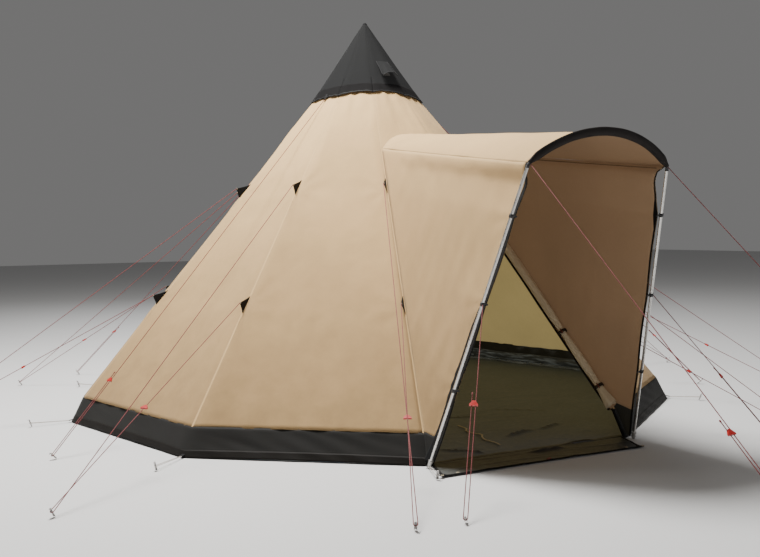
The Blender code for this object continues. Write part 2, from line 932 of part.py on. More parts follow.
def build_tip(parts, material):
    """The rounded tip that carries the cap, with a spigot in the upper half."""
    top = tip_top_height()
    spigot = pole_upper_radius - pole_wall - clearance
    shoulder = top - tip_height + clearance
    profile = [
        (0, top),
        (tip_radius * 0.6, top - tip_radius * 0.2),
        (tip_radius, top - tip_radius),
        (tip_radius, shoulder),
        (spigot, shoulder),
        (spigot, shoulder - tip_spigot_length),
        (0, shoulder - tip_spigot_length),
    ]
    return turned("centre_pole_tip", profile, round_side_count, False, parts, material)


# Rolled door


def roll_frame():
    """Directions at the right porch ridge: across, into the tent and up along the ridge."""
    low = around(ridge_radius(skirt_height), face_angle / 2, skirt_height)
    high = around(ridge_radius(cap_hem_height), face_angle / 2, cap_hem_height)
    up = (high - low).normalized()
    across = Vector((1, 0, 0))
    across = (across - up * across.dot(up)).normalized()
    return across, up.cross(across), up


def roll_radius_at(height):
    """How the roll narrows towards its top."""
    rise = (height - roll_bottom_height) / (roll_top_height - roll_bottom_height)
    return roll_radius * between(1, roll_top_share, rise)


def roll_centre(height):
    """The roll's centre line, in the corner of the right ridge and the right wall."""
    across, inward, _ = roll_frame()
    radius = roll_radius_at(height)
    ridge = around(ridge_radius(height), face_angle / 2, height)
    return ridge - across * (radius + roll_side_gap) - inward * (radius + roll_front_gap)


def roll_stations():
    """Heights and radii along the roll, drawn in under its ties."""
    stations = [(roll_bottom_height, roll_radius)]
    for tie in tie_heights:
        waist = roll_radius_at(tie) * roll_waist_share
        for step in (-3, -1, 1, 3):
            height = tie + step * tie_half_length
            radius = waist if abs(step) == 1 else roll_radius_at(height)
            stations.append((height, radius))
    top_steps = 5
    for i in range(top_steps):
        height = between(tie_heights[-1], roll_top_height, (i + 1) / top_steps)
        stations.append((height, roll_radius_at(height)))
    return stations


def roll_section(height, radius):
    """One section of the roll: a spiral whose last turn ends in a flap."""
    across, inward, _ = roll_frame()
    centre = roll_centre(height)
    steps = 14
    points = []
    for i in range(steps):
        angle = 2 * math.pi * (i + 1) / steps + math.pi / 2
        reach = radius - roll_flap * (1 - i / (steps - 1)) * radius / roll_radius
        offset = across * math.cos(angle) + inward * math.sin(angle)
        points.append(centre + offset * reach)
    return points


def build_roll(parts, material):
    """The door, rolled up against the right ridge."""
    work = bmesh.new()
    rings = []
    for height, radius in roll_stations():
        rings.append([work.verts.new(point) for point in roll_section(height, radius)])
    for low, high in zip(rings, rings[1:]):
        count = len(low)
        for i in range(count):
            j = (i + 1) % count
            work.faces.new((low[i], low[j], high[j], high[i]))
    work.faces.new(list(reversed(rings[0])))
    work.faces.new(rings[-1])
    bmesh.ops.recalc_face_normals(work, faces=work.faces)
    mesh = bpy.data.meshes.new("door_roll")
    work.to_mesh(mesh)
    work.free()
    return add_object("door_roll", mesh, parts, material)


def build_tie(index, parts, cutters, material):
    """A strap round the rolled door, with its toggle."""
    height = tie_heights[index]
    inner = (roll_radius_at(height) * roll_waist_share + clearance) / math.cos(math.pi / round_side_count)
    outer = inner + tie_wall
    across, inward, _ = roll_frame()
    place = frame_matrix(roll_centre(height), across, inward)
    profile = [(outer, tie_half_length), (outer, -tie_half_length)]
    profile += [(inner, -tie_half_length), (inner, tie_half_length)]
    strap = turned(f"door_tie_{index + 1}", profile, round_side_count, True, parts, material)
    strap.matrix_world = place
    toggle_reach = outer + tie_toggle_radius / 2
    spot = Matrix.Rotation(math.radians(-tie_toggle_bearing), 4, "Z")
    spot = spot @ Matrix.Translation((-toggle_reach, 0, 0))
    toggle = rod("toggle", tie_toggle_radius, tie_toggle_length, place @ spot, cutters)
    boolean(strap, toggle, "UNION")
    return strap


# Guys


def peg_place(ground_point, pull, across):
    """Where the cord rounds a peg, and the peg's axis, square to the cord's plane."""
    axis = across.cross(pull).normalized()
    if axis.z < 0:
        axis = -axis
    flat = math.sqrt(max(0, 1 - axis.z * axis.z))
    base = ground_point + Vector((0, 0, peg_radius * flat + clearance))
    return base + axis * peg_cord_height, base, axis


def peg_mesh(base, axis, cutters):
    """A peg: the part above the ground, with its head."""
    neck_top = peg_cord_height + peg_neck
    profile = [
        (0, neck_top + peg_head_height),
        (peg_head_radius, neck_top + peg_head_height),
        (peg_head_radius, neck_top),
        (peg_radius, neck_top),
        (peg_radius, 0),
        (0, 0),
    ]
    peg = turned("peg", profile, peg_side_count, False, cutters)
    mesh = baked_mesh(peg)
    turn = axis.to_track_quat("Z", "Y").to_matrix().to_4x4()
    mesh.transform(Matrix.Translation(base) @ turn)
    return mesh


def straight(start, end, steps):
    """Points from start to end, the start left out."""
    return [between(start, end, (i + 1) / steps) for i in range(steps)]


def loop_points(middle, across, pull):
    """The half turn of a cord round its peg."""
    points = []
    for i in range(loop_step_count + 1):
        angle = math.pi * i / loop_step_count
        points.append(
            middle
            + across * cord_loop_radius * math.cos(angle)
            - pull * cord_loop_radius * math.sin(angle)
        )
    return points


def two_point_guy(high, low, ground_point, runner_share):
    """A cord from a high patch round the peg and up through a runner to a low patch."""
    pull = ((high - ground_point).normalized() + (low - ground_point).normalized()).normalized()
    across = pull.cross(Vector((0, 0, 1))).normalized()
    middle, base, axis = peg_place(ground_point, pull, across)
    loop = loop_points(middle, across, pull)
    down = (loop[0] - high).normalized()
    up = (low - loop[-1]).normalized()
    start = high + down * cord_start_gap
    end = low - up * cord_start_gap
    runs = cord_run_count
    points = [start] + straight(start, loop[0], runs) + loop[1:] + straight(loop[-1], end, runs)
    runner_at = between(loop[-1], low, runner_share)
    return {
        "points": points,
        "shares": None,
        "base": base,
        "axis": axis,
        "runner": runner_at,
        "slide": up,
        "bores": (0,),
    }


def one_point_guy(top, ground_point, runner_share):
    """A cord from one point round the peg and back up to a knot above its runner."""
    pull = (top - ground_point).normalized()
    across = pull.cross(Vector((0, 0, 1))).normalized()
    middle, base, axis = peg_place(ground_point, pull, across)
    for _ in range(3):
        pull = (top - middle - across * cord_loop_radius).normalized()
        across = pull.cross(Vector((0, 0, 1))).normalized()
        middle, base, axis = peg_place(ground_point, pull, across)
    loop = loop_points(middle, across, pull)
    runs = cord_run_count
    length = (top - loop[0]).length
    back = length * runner_share + cord_tail
    knot = 2 * cord_radius
    tail = loop[-1] + pull * back
    points = [top] + straight(top, loop[0], runs) + loop[1:]
    points += straight(loop[-1], tail, 3)
    shares = [1.0] * len(points)
    points += [tail + pull * knot, tail + pull * knot * 2, tail + pull * knot * 3]
    shares += [cord_knot_share, cord_knot_share, 1.0]
    return {
        "points": points,
        "shares": shares,
        "base": base,
        "axis": axis,
        "runner": middle + pull * length * runner_share,
        "slide": pull,
        "bores": (-cord_loop_radius, cord_loop_radius),
    }


def cord_exit(anchor, axis, radius, ground_point):
    """Where a cord from a round piece's axis to the ground leaves that piece."""
    way = (ground_point - anchor).normalized()
    along = way.dot(axis)
    outward = (way - axis * along).normalized()
    return anchor + outward * (radius + clearance + cord_radius * abs(along))


def guy_plans():
    """Every guy of the tent by name."""
    plans = {}
    for number in range(1, corner_count + 1):
        high = patch_tip(number, patch_heights[0])
        low = patch_tip(number, patch_heights[1])
        radius = ridge_peg_radius * ridge_peg_shares[number - 1]
        bearing = ridge_bearing(number) + ridge_peg_turns[number - 1]
        ground_point = around(radius, bearing, 0)
        share = ridge_runner_shares[number - 1]
        plans[f"ridge_{number:02d}"] = two_point_guy(high, low, ground_point, share)
    for index, name in enumerate(storm_names):
        hem = cap_hem_radius * math.cos(half_face)
        top = around(hem, storm_hem_bearings[index], cap_hem_height)
        radius = storm_peg_radius * storm_peg_shares[index]
        ground_point = around(radius, storm_peg_bearings[index], 0)
        top += (ground_point - top).normalized() * cord_start_gap
        plans[f"storm_{name}"] = one_point_guy(top, ground_point, storm_runner_share)
    for index, side in enumerate((-1, 1)):
        foot, shoulder = leg_ends(side)
        along = (shoulder - foot).normalized()
        ring = tube_radius + clearance + clip_wall
        anchor = leg_point(side, clip_heights[porch_guy_clip])
        ground_point = Vector((side * porch_peg_spread, -porch_peg_reach, 0))
        top = cord_exit(anchor, along, ring, ground_point)
        plans["porch" + side_name(side)] = one_point_guy(top, ground_point, porch_runner_share)
        _, bend, _ = elbow_route(side)
        anchor = bend[len(bend) // 2]
        across_elbow = bend[len(bend) // 2 + 1] - bend[len(bend) // 2 - 1]
        ground_point = Vector((shoulder_peg_spreads[index], -shoulder_peg_reaches[index], 0))
        top = cord_exit(anchor, across_elbow.normalized(), tube_radius, ground_point)
        plans["shoulder" + side_name(side)] = one_point_guy(top, ground_point, shoulder_runner_share)
    return plans


def build_cord(name, plan, parts, cutters, material):
    """A guy's cord, with the peg that it rounds."""
    path = curved_tube(
        "cord_path", plan["points"], cord_radius, cord_bevel_count, cutters, None, plan["shares"]
    )
    cord = add_object("guy_line_" + name, baked_mesh(path), parts, material)
    cord.data.shade_smooth()
    peg = add_object("peg_" + name, peg_mesh(plan["base"], plan["axis"], cutters), cutters)
    boolean(cord, peg, "UNION")
    return cord


def runner_mesh(bores, cutters):
    """A runner: a flat triangle with blunt corners, bored along the cord."""
    half = runner_width / 2
    outline_shares = [(-1, -0.5), (1, -0.5), (1, -0.25), (0.28, 0.5), (-0.28, 0.5), (-1, -0.25)]
    outline = [(x * half, y * runner_height) for x, y in outline_shares]
    plate = flat_plate("runner_plate", [outline], runner_thickness, cutters)
    body = add_object("runner_body", baked_mesh(plate), cutters)
    lie = Matrix.Rotation(math.radians(half_turn / 2), 4, "X")
    for offset in bores:
        place = Matrix.Translation((offset, 0, 0)) @ lie
        bore = rod("runner_bore", cord_radius + runner_bore_gap, 2 * runner_height, place, cutters)
        boolean(body, bore, "DIFFERENCE")
    return baked_mesh(body)


def build_guys(parts, cutters, cord_material, runner_material):
    """The cords with their pegs, and the runners on them."""
    shared = {}
    for name, plan in guy_plans().items():
        build_cord(name, plan, parts, cutters, cord_material)
        bores = plan["bores"]
        if bores not in shared:
            shared[bores] = runner_mesh(bores, cutters)
            shared[bores].materials.append(runner_material)
        runner = bpy.data.objects.new("guy_runner_" + name, shared[bores])
        parts.objects.link(runner)
        across = plan["slide"].cross(Vector((0, 0, 1))).normalized()
        runner.matrix_world = frame_matrix(plan["runner"], across, plan["slide"])


def build_tent():
    """Builds every piece of the tent."""
    clear_scene()
    parts = collection_named("pyramid_tent")
    cutters = collection_named("cutters")
    canvas = make_material("canvas", (0.56, 0.44, 0.30), 0.85)
    dark_cloth = make_material("dark_cloth", (0.045, 0.047, 0.05), 0.7)
    floor_cloth = make_material("floor_cloth", (0.05, 0.047, 0.035), 0.55)
    steel = make_material("steel", (0.62, 0.62, 0.63), 0.3, 1.0)
    plastic = make_material("plastic", (0.03, 0.03, 0.035), 0.5)
    cord_red = make_material("cord", (0.38, 0.04, 0.035), 0.75)
    runner_red = make_material("runner", (0.62, 0.05, 0.02), 0.4)
    build_body(parts, cutters, canvas)
    build_skirt(parts, cutters, dark_cloth)
    build_cap(parts, cutters, dark_cloth)
    build_vent(parts, dark_cloth)
    build_groundsheet(parts, floor_cloth)
    build_roof(parts, canvas)
    build_sleeve(parts, cutters, dark_cloth)
    build_arch(parts, cutters, steel)
    for side in (-1, 1):
        build_wall(side, parts, cutters, canvas)
        build_elbow(side, parts, cutters, plastic)
        build_leg(side, parts, steel)
        build_boot(side, parts, cutters, plastic)
    build_pole_foot(parts, plastic)
    build_pole_lower(parts, steel)
    build_pole_upper(parts, steel)
    build_collar(parts, plastic)
    build_tip(parts, plastic)
    build_roll(parts, canvas)
    for index in range(len(tie_heights)):
        build_tie(index, parts, cutters, dark_cloth)
    build_guys(parts, cutters, cord_red, runner_red)


build_tent()
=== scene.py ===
"""Looks of the pyramid tent: cloth, cords, fittings, floor, light and camera, in metres."""

import math
from functools import partial

import bmesh
import bpy
from mathutils import Matrix, Vector, noise


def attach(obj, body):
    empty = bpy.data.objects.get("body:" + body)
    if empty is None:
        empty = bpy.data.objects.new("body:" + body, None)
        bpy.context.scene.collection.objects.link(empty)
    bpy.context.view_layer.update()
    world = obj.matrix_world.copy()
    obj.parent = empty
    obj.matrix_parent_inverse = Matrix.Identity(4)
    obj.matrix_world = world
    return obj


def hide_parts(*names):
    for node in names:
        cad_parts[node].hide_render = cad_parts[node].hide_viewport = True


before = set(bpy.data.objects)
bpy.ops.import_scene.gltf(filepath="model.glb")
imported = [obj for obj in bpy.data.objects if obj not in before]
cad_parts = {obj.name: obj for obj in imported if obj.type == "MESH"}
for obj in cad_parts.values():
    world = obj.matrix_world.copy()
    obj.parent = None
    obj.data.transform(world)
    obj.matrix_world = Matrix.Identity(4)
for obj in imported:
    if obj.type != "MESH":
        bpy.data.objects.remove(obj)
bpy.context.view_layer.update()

# Camera
camera_distance = 8.361
camera_bearing = -25.8017
camera_height = 1.525
camera_pitch = -0.0542
camera_roll = -0.013
camera_lens = 42.30
camera_shift = (0.0157, 0.0005)
camera_sensor = 36

# Tent sizes, as in the solids
corner_count = 10
corner_radius = 2.70
apex_height = 3.45
skirt_height = 0.194
skirt_slant = 0.096
cap_hem_height = 2.69
cap_hem_radius = 0.534
cap_lap = 0.11
cloth_width = 0.005
cloth_thickness = 0.004
clearance = 0.0003
foot_side_offset = 0.0157
foot_front_offset = 0.0422
shoulder_half_spread = 0.532
porch_lean = 0.646
shoulder_height = 1.903
arch_rise = 0.205
crease_height = 2.20
crease_rise = 0.14
tube_radius = 0.010
elbow_arm = 0.028
elbow_step_count = 6
arch_step_count = 14
clip_heights = (0.52, 1.07, 1.60)
clip_wall = 0.0032

# Guys, as in the solids
patch_heights = (1.90, 1.00)
patch_rise = 0.075
patch_fall = 0.095
patch_reach = 0.060
patch_tip_drop = 0.045
porch_patch_shift = 0.010
porch_patch_turn = 22
cord_radius = 0.0025
cord_loop_radius = 0.0115
cord_knot_share = 1.9
cord_tail = 0.055
cord_start_gap = 0.0008
peg_radius = 0.0094
peg_cord_height = 0.038
ridge_peg_radius = 3.85
ridge_peg_shares = (1.005, 1.036, 1.013, 0.992, 1.018, 0.965, 0.92, 0.90, 0.90, 0.93)
ridge_peg_turns = (-1.3, 2.8, -4.5, 9.7, -6.5, 0, 0, 0, 0, 0)
storm_names = ("front_left", "front_right", "rear_left", "rear_right")
storm_hem_bearings = (-72, 72, -144, 144)
storm_peg_radius = 3.18
storm_peg_shares = (1.0, 1.0, 1.07, 1.07)
storm_peg_bearings = (-68, 68, -138, 138)
storm_runner_share = 0.17
porch_peg_spread = 1.20
porch_peg_reach = 3.62
porch_runner_share = 0.50
porch_guy_clip = 1
shoulder_peg_spreads = (-0.35, 1.40)
shoulder_peg_reaches = (5.15, 4.60)
shoulder_runner_share = 0.295
loop_step_count = 12
cord_run_count = 4

half_turn = 180
face_angle = 360 / corner_count
half_face = math.radians(face_angle / 2)
skirt_seam_radius = corner_radius - skirt_slant
foot_half_spread = corner_radius * math.sin(half_face) + foot_side_offset
foot_reach = corner_radius * math.cos(half_face) + foot_front_offset
shoulder_reach = foot_reach + porch_lean
corner_numbers = range(1, corner_count + 1)
upward = Vector((0, 0, 1))

# Cloth sizes of the scene
weld = 0.0001
door_face = 3
closed_faces = [face for face in corner_numbers if face != door_face]
slope_low, slope_high = 1.0, 2.0
most_round_share = 0.3
cloth_layer = 0.0014
hem_layer = 0.0012
band_layer = 0.001
foot_layer = 0.0022
thin_tape = 0.0022
slope_stretch = 1.30
tape_section = ((-1, -0.3), (-0.93, -1), (0.93, -1), (1, -0.3),
                (1, 0.3), (0.93, 1), (-0.93, 1), (-1, 0.3))
canvas_row_count = 96
canvas_column_count = 40
canvas_top_gap = 0.01
crease_row_count = 24
strip_row_count = 60
strip_column_count = 4
seam_row_count = 80
seam_column_count = 8
ridge_seam_lap = 0.04
ridge_round = 0.08
canvas_layer = 0.0016
face_sink = 0.014
slack_depth = 0.013
crease_depth = 0.0050
hem_fold_depth = 0.0060
hem_fold_reach = 0.30
hem_fold_count = 14
neck_fold_reach = 0.5
neck_fold_count = 6
neck_fold_depth = 0.0065
drag_depth = 0.0048
drag_reach = 0.20
drag_fold_count = 9
drag_start = (0.01, 0.08)
crease_lap = 0.012
strip_width = 0.064
strip_wave = 0.003
seam_half_width = 0.008
seam_lift = 0.0009
stitch_pitch = 0.007
stitch_offsets = (0.005, 0.011)
stitch_share = 0.62
stitch_half_width = 0.0007
# Darkening towards the ground: painted shade on the canvas, standing in for light that falls off
# lower down, and a little dirt on the skirt.
dirt_and_shade_height = 2.8
dirt_and_shade_colour = (0.170, 0.108, 0.048)
fin_layer = 0.0034
fin_root = 0.016
fin_tip_half = 0.006
fin_bend = 0.004
fin_curve = 0.8
fin_step_count = 12
fin_tip_gap = 0.003
fin_bend_middle = 0.4
patch_loop_inset = 0.004
patch_loop_radius = 0.0055
patch_loop_cord = 0.0015
storm_tab_length = 0.05
storm_tab_width = 0.024
storm_tab_lift = 0.004

skirt_column_count = 48
skirt_row_count = 14
skirt_hem_row_count = 5
skirt_fold_depth = 0.004
skirt_belly = 0.004
skirt_arch = 0.010
skirt_round = 0.05
skirt_tuck = 0.004
skirt_tuck_depth = 0.002
skirt_tuck_reach = 0.006
skirt_hem_height = 0.052
skirt_hem_lift = 0.0016
door_skirt_share = 0.024

cap_tip_drop = 0.012
cap_top_gap = 0.003
cap_wave_count = 9
cap_flare_reach = 0.05
cap_stretch = 1.2
cap_tip_profile = ((0.0215, -0.030), (0.0222, -0.022), (0.0190, -0.012), (0.0135, -0.004),
                   (0.006, -0.0006))
cap_scallop = 0.010
cap_front_rise = 0.045
cap_front_bearing = -15
cap_front_reach = 75
cap_flutter = 0.0022
cap_fold_depth = 0.003
cap_flare = 0.006
cap_round = 0.06
cap_band_height = 0.105
cap_band_lift = 0.0018
cap_binding_height = 0.010
vent_offset = 0.03
vent_top_share = 0.46
vent_top_height = cap_hem_height + (apex_height - cap_hem_height) * vent_top_share
vent_top_width = 0.105
vent_width = 0.15
vent_length = 0.225
vent_bulge = 0.032
vent_open_angle = 15
vent_hole_width = 0.075
vent_hole_length = 0.14
vent_hole_drop = 0.03
vent_cloth = 0.003
vent_net_lift = 0.0014
vent_rim_lift = 0.0018
vent_rim_lap = 0.004
vent_rim_width = 0.010
vent_rim_layer = 0.0010
vent_ruck = 0.0022
vent_edge_width = 0.009
vent_edge_layer = 0.0030
vent_prop_start = 0.30
vent_prop_share = 0.66
vent_prop_drop = 0.0030
vent_prop_radius = 0.0020

sheet_inset = 0.015
sheet_radius = corner_radius - sheet_inset
door_line = sheet_radius * math.cos(half_face)
sheet_upstand_height = 0.10
sheet_upstand_inset = 0.050
boot_radius = 0.015
sheet_lip_side_gap = 0.045
sheet_lip_length = 0.235
sheet_lip_shift = -0.088
sheet_lip_half_width = foot_half_spread - boot_radius - sheet_lip_side_gap
sheet_lip_reach = foot_reach + sheet_lip_length
floor_layer = 0.0036
floor_cloth_layer = 0.0028
floor_hole_share = 0.012
floor_row_count = 112
floor_columns = 24
door_floor_columns = 96
lip_row_count = 30
lip_switch = 0.04
face_map_width = 1.65
floor_crease = 0.010
upstand_ruck = 0.020
cove_width = 0.30
cove_rise = 0.016
upstand_sag = 0.012
sheet_belly = 0.006
lip_bow = 0.012
lip_curl = 0.006
strap_start = (-0.057, -1.68)
strap_end = (-0.134, -2.36)
strap_lift = 0.008
strap_width = 0.014
strap_sways = (0.030, 0.020)
strap_waves = (15.0, 22.0)
floor_folds = (
    (0.02, -2.17, 0.42, -2.02, 0.019),
    (0.38, -2.06, 0.72, -1.97, 0.017),
    (-0.12, -2.63, 0.30, -2.60, 0.018),
    (0.22, -2.56, 0.62, -2.50, 0.016),
    (-0.60, -2.20, -0.28, -2.52, 0.015),
    (-0.30, -1.30, 0.35, -1.45, 0.009),
    (0.45, -1.20, 0.95, -1.55, 0.010),
    (-0.9, -0.4, -0.2, -0.9, 0.009),
)
floor_fold_width = 0.032
lip_binding_width = 0.016
lip_binding_layer = 0.0045
lip_tab_start = (0.02, -0.02, -0.001)
lip_tab_run = (0.045, -0.022, 0.002)
lip_tab_wave = 0.002
lip_tab_width = 0.030
lip_tab_layer = 0.0024
lip_ring_place = (0.014, -0.0105, 0.0065)
lip_ring_sizes = (0.0085, 0.0016)
lip_eyelet_place = (0.43, 0.93)
lip_eyelet_lift = 0.003
lip_eyelet_sizes = (0.0080, 0.0022)
lip_toggle_share = 0.51
lip_toggle_place = (0, -0.004, 0.011)
lip_toggle_run = (0.042, 0.010)
lip_toggle_radii = (0.0028, 0.0046, 0.0054, 0.0060, 0.0062, 0.0060, 0.0054, 0.0046, 0.0028)

hem_inset = 0.03
wall_bottom_height = 0.02
wall_stand_off = 0.0006
wall_foot_shares = {-1: 0.080, 1: 0.110}
sleeve_half_width = 0.026
sleeve_half_depth = 0.014
sleeve_pinch = 0.50
sleeve_gap = 0.001
sleeve_step_count = 110
sleeve_side_count = 28
sleeve_piping_share = 0.55
sleeve_piping_radius = 0.0013
eave_round = 0.09
eave_sink = 0.012
eave_tape_width = 0.012
eave_tape_inset = 0.0052
eave_tape_rise = 0.991
roof_sag = 0.010
roof_slack = 0.009
roof_fan = 0.007
roof_gather = 0.0012
hem_top_shares = {-1: 0.93, 1: 0.982}
hem_top_insets = {-1: 0.0, 1: 0.036}
hem_bows = {-1: (0.006, 0.008, 0.008, 0.010), 1: (0.006, 0.009, 0.009, 0.034)}
hem_band_widths = {-1: (0.036, 0.095), 1: (0.014, 0.014)}
hem_band_thickness = 0.0052
wall_sag = 0.010
wall_slack = 0.008
wall_crease = 0.006
wall_eave = 0.006
wall_pull = 0.006
tab_reach = 0.016
tab_rise = 0.075
tab_shares = (0.30, 0.38, 1.0)
tab_layer = 0.0056
clip_half_length = 0.012
clip_side_count = 28
clip_arm_width = 0.016
clip_arm_layer = 0.0050
clip_stud_reach = 0.0052
clip_arm_widths = (0.016, 0.017, 0.015, 0.012, 0.012, 0.014, 0.010)
clip_stud_radii = (0.0032, 0.0052, 0.0052, 0.0032)

roll_radius = 0.044
roll_top_share = 0.86
roll_bottom_height = 0.21
roll_flare = 0.40
roll_flare_reach = 0.20
roll_top_height = 2.02
roll_side_gap = 0.012
roll_front_gap = 0.0006
roll_waist_share = 0.74
roll_fold = 0.22
roll_flat = 0.05
roll_flat_turn = 60
roll_turn_count = 3.1
roll_start_turn = 0.6
tie_heights = (0.34, 0.72)
tie_half_length = 0.012
tie_toggle_length = 0.045
tie_toggle_turn = 40
tie_pinch_reach = 0.13
tie_layer = 0.0026
tie_loop_radius = 0.0062
roll_edge_width = 0.015
roll_edge_layer = 0.0030
zip_step_count = 80
zip_inset = 0.0012
zip_tape_width = 0.018
zip_tape_layer = 0.0034
zip_teeth_reach = 0.007
zip_teeth_radius = 0.0026

peg_arm = 0.0085
peg_fold_share = 0.62
peg_sheet = 0.0011
peg_stations = ((0.0, 1.0), (0.02, 1.0), (0.032, 0.98), (0.044, 0.98), (0.052, 1.0),
                (0.058, 0.96), (0.0618, 0.86))
corner_cord_radius = 0.002
corner_loop_radius = 0.0105
corner_peg_turns = (6, 10, 0, 0, -18, -6, 8, -5, 0, 5)
corner_loop_lengths = (0.30, 0.32, 0.26, 0, 0.26, 0.24, 0.26, 0.24, 0.26, 0.24)
foot_loop_height = 0.016
corner_peg_lean = 0.35
corner_peg_lift = 0.0035
corner_loop_height = 0.030
corner_ring_radius = 0.0172
corner_ring_cord = 0.0021
corner_tab_width = 0.024
corner_tab_layer = 0.0028
peg_hook_height = 0.060
peg_hook_radius = 0.0062
peg_hook_wire = 0.0021

# Looks of the materials
cloth_looks = {
    # The canvas's darkening towards the ground is painted shade.
    "canvas": dict(colour=(0.505, 0.331, 0.153), roughness=0.9, sheen=0.04,
                   thread=(0.40, 0.29, 0.16), dirt_and_shade=1.45),
    # The canvas's inner side: a yellower copy of the canvas that glows, as painted light shining
    # through the cloth.
    "canvas_inside_painted_light": dict(colour=(0.45, 0.36, 0.18), roughness=0.9, sheen=0.04,
                          glow=(0.30, 0.235, 0.100), glow_strength=0.75, thread=(0.3, 0.25, 0.15)),
    # The inner side of the porch's cloth: a darker, browner copy of the canvas as painted shade,
    # with a faint glow as painted light.
    "porch_inside_painted_shade": dict(colour=(0.25, 0.165, 0.095), roughness=0.9, sheen=0.03,
                         glow=(0.22, 0.135, 0.075), glow_strength=0.32, thread=(0.14, 0.09, 0.05)),
    # The rolled door: a lighter copy of the canvas that glows, as painted light in the porch's
    # shade.
    "door_cloth_painted_light": dict(colour=(0.64, 0.55, 0.39), roughness=0.9, sheen=0.04,
                       glow=(0.10, 0.080, 0.052), glow_strength=0.22, thread=(0.2, 0.16, 0.12)),
    "canvas_seam": dict(colour=(0.490, 0.321, 0.148), roughness=0.9, sheen=0.04,
                        thread=(0.38, 0.27, 0.15)),
    "skirt_cloth": dict(colour=(0.0125, 0.0135, 0.0140), roughness=0.66, depth=0.0003, mottle=0.14,
                        sheen=0.02, thread=(0.05, 0.05, 0.05), dirt_and_shade=0.05, shine=0.10),
    # The skirt's inner side: a lighter copy of the skirt cloth that glows, as painted light.
    "skirt_inside_painted_light": dict(colour=(0.052, 0.052, 0.046), roughness=0.66, mottle=0.14, sheen=0.02,
                         glow=(0.010, 0.010, 0.008), glow_strength=0.35),
    "skirt_hem": dict(colour=(0.0045, 0.0046, 0.0048), roughness=0.6, depth=0.0003, mottle=0.14,
                      sheen=0.02, thread=(0.04, 0.04, 0.04), dirt_and_shade=0.04, shine=0.10),
    "cap_cloth": dict(colour=(0.0108, 0.0110, 0.0112), roughness=0.9, depth=0.0003, mottle=0.1,
                      sheen=0.0, thread=(0.006, 0.006, 0.006), shine=0.03,
                      glow=(0.0115, 0.0115, 0.0116), glow_strength=1.0),
    "cap_hem": dict(colour=(0.0080, 0.0077, 0.0078), roughness=0.9, depth=0.0003, mottle=0.1,
                    sheen=0.0, thread=(0.004, 0.004, 0.004), shine=0.03,
                    glow=(0.0055, 0.0052, 0.0053), glow_strength=1.0),
    "sleeve_cloth": dict(colour=(0.024, 0.0205, 0.0195), roughness=0.62, depth=0.0003, mottle=0.15,
                         sheen=0.02, shine=0.10),
    "webbing": dict(colour=(0.0085, 0.0085, 0.009), roughness=0.66, pitch=0.0011, depth=0.0005,
                    mottle=0.2, sheen=0.02, shine=0.10),
    # The hood's underside: a lighter copy of the cap cloth that glows, as painted light in the
    # hood's shadow.
    "vent_hood_underside_painted_light": dict(colour=(0.050, 0.050, 0.048), roughness=0.85, depth=0.0003, mottle=0.12,
                        sheen=0.02, glow=(0.030, 0.029, 0.027), glow_strength=1.0),
    "vent_net": dict(colour=(0.040, 0.040, 0.040), roughness=0.8, depth=0.0006, mottle=0.3,
                     sheen=0.0, glow=(0.030, 0.028, 0.026), glow_strength=1.0),
    "pale_tape": dict(colour=(0.42, 0.36, 0.25), roughness=0.7, pitch=0.0012, mottle=0.1),
    "seam_tape": dict(colour=(0.120, 0.080, 0.048), roughness=0.85, pitch=0.0011, mottle=0.15,
                      sheen=0.02, glow=(0.22, 0.135, 0.075), glow_strength=0.13),
    "tie_tape": dict(colour=(0.050, 0.040, 0.030), roughness=0.8, pitch=0.0011, depth=0.0005,
                     mottle=0.2, sheen=0.02, shine=0.10),
}
coated_looks = {
    # Inside the tent the floor is painted lighter and bluer than its lip, the same sheet outside,
    # as painted light for the dim yellow light indoors.
    "floor_cloth": dict(colour=(0.088, 0.120, 0.178), roughness=0.50, fold_shade_painted=True),
    "lip_cloth": dict(colour=(0.046, 0.050, 0.050), roughness=0.50, fold_shade_painted=True),
    "floor_under": dict(colour=(0.03, 0.03, 0.03), roughness=0.55),
    # The upstand's glow comes in streaks: painted highlights.
    "upstand_cloth": dict(colour=(0.085, 0.092, 0.096), roughness=0.15, depth=0.0014,
                          glow=(0.0140, 0.0150, 0.0134)),
}
metal_looks = {
    "porch_steel": dict(colour=(0.74, 0.73, 0.71), roughness=0.30),
    "pole_steel": dict(colour=(0.62, 0.62, 0.63), roughness=0.34),
    "peg_steel": dict(colour=(0.45, 0.44, 0.43), roughness=0.42),
    "boot_steel": dict(colour=(0.55, 0.54, 0.52), roughness=0.38),
}
plastic_looks = {
    "black_plastic": dict(colour=(0.022, 0.022, 0.024), roughness=0.42),
    "runner_plastic": dict(colour=(0.36, 0.012, 0.010), roughness=0.34),
    "toggle_plastic": dict(colour=(0.20, 0.055, 0.035), roughness=0.5),
}
braid_looks = {
    "guy_cord": dict(colour=(0.16, 0.005, 0.007), fleck=(0.05, 0.004, 0.008)),
    "corner_cord": dict(colour=(0.42, 0.38, 0.34), fleck=(0.12, 0.11, 0.10)),
}

# Stage
floor_colour = (0.52, 0.52, 0.52)
sky_colour = (1.0, 0.99, 0.98)
sky_strength = 0.17
light_aim_height = 1.2
floor_half_width = 40
floor_drop = 0.002
floor_roughness = 0.9
light_table = (
    ("top_light", -80, 2.4, 8.6, 3.2, 2250, (1.0, 0.985, 0.955)),
    ("key_light", -95, 8.0, 7.0, 3.5, 200, (1.0, 0.97, 0.93)),
    ("fill_light", 35, 11.0, 4.0, 6.0, 80, (1.0, 0.98, 0.96)),
    ("back_light", 165, 9.0, 7.0, 5.0, 300, (0.96, 0.98, 1.0)),
)


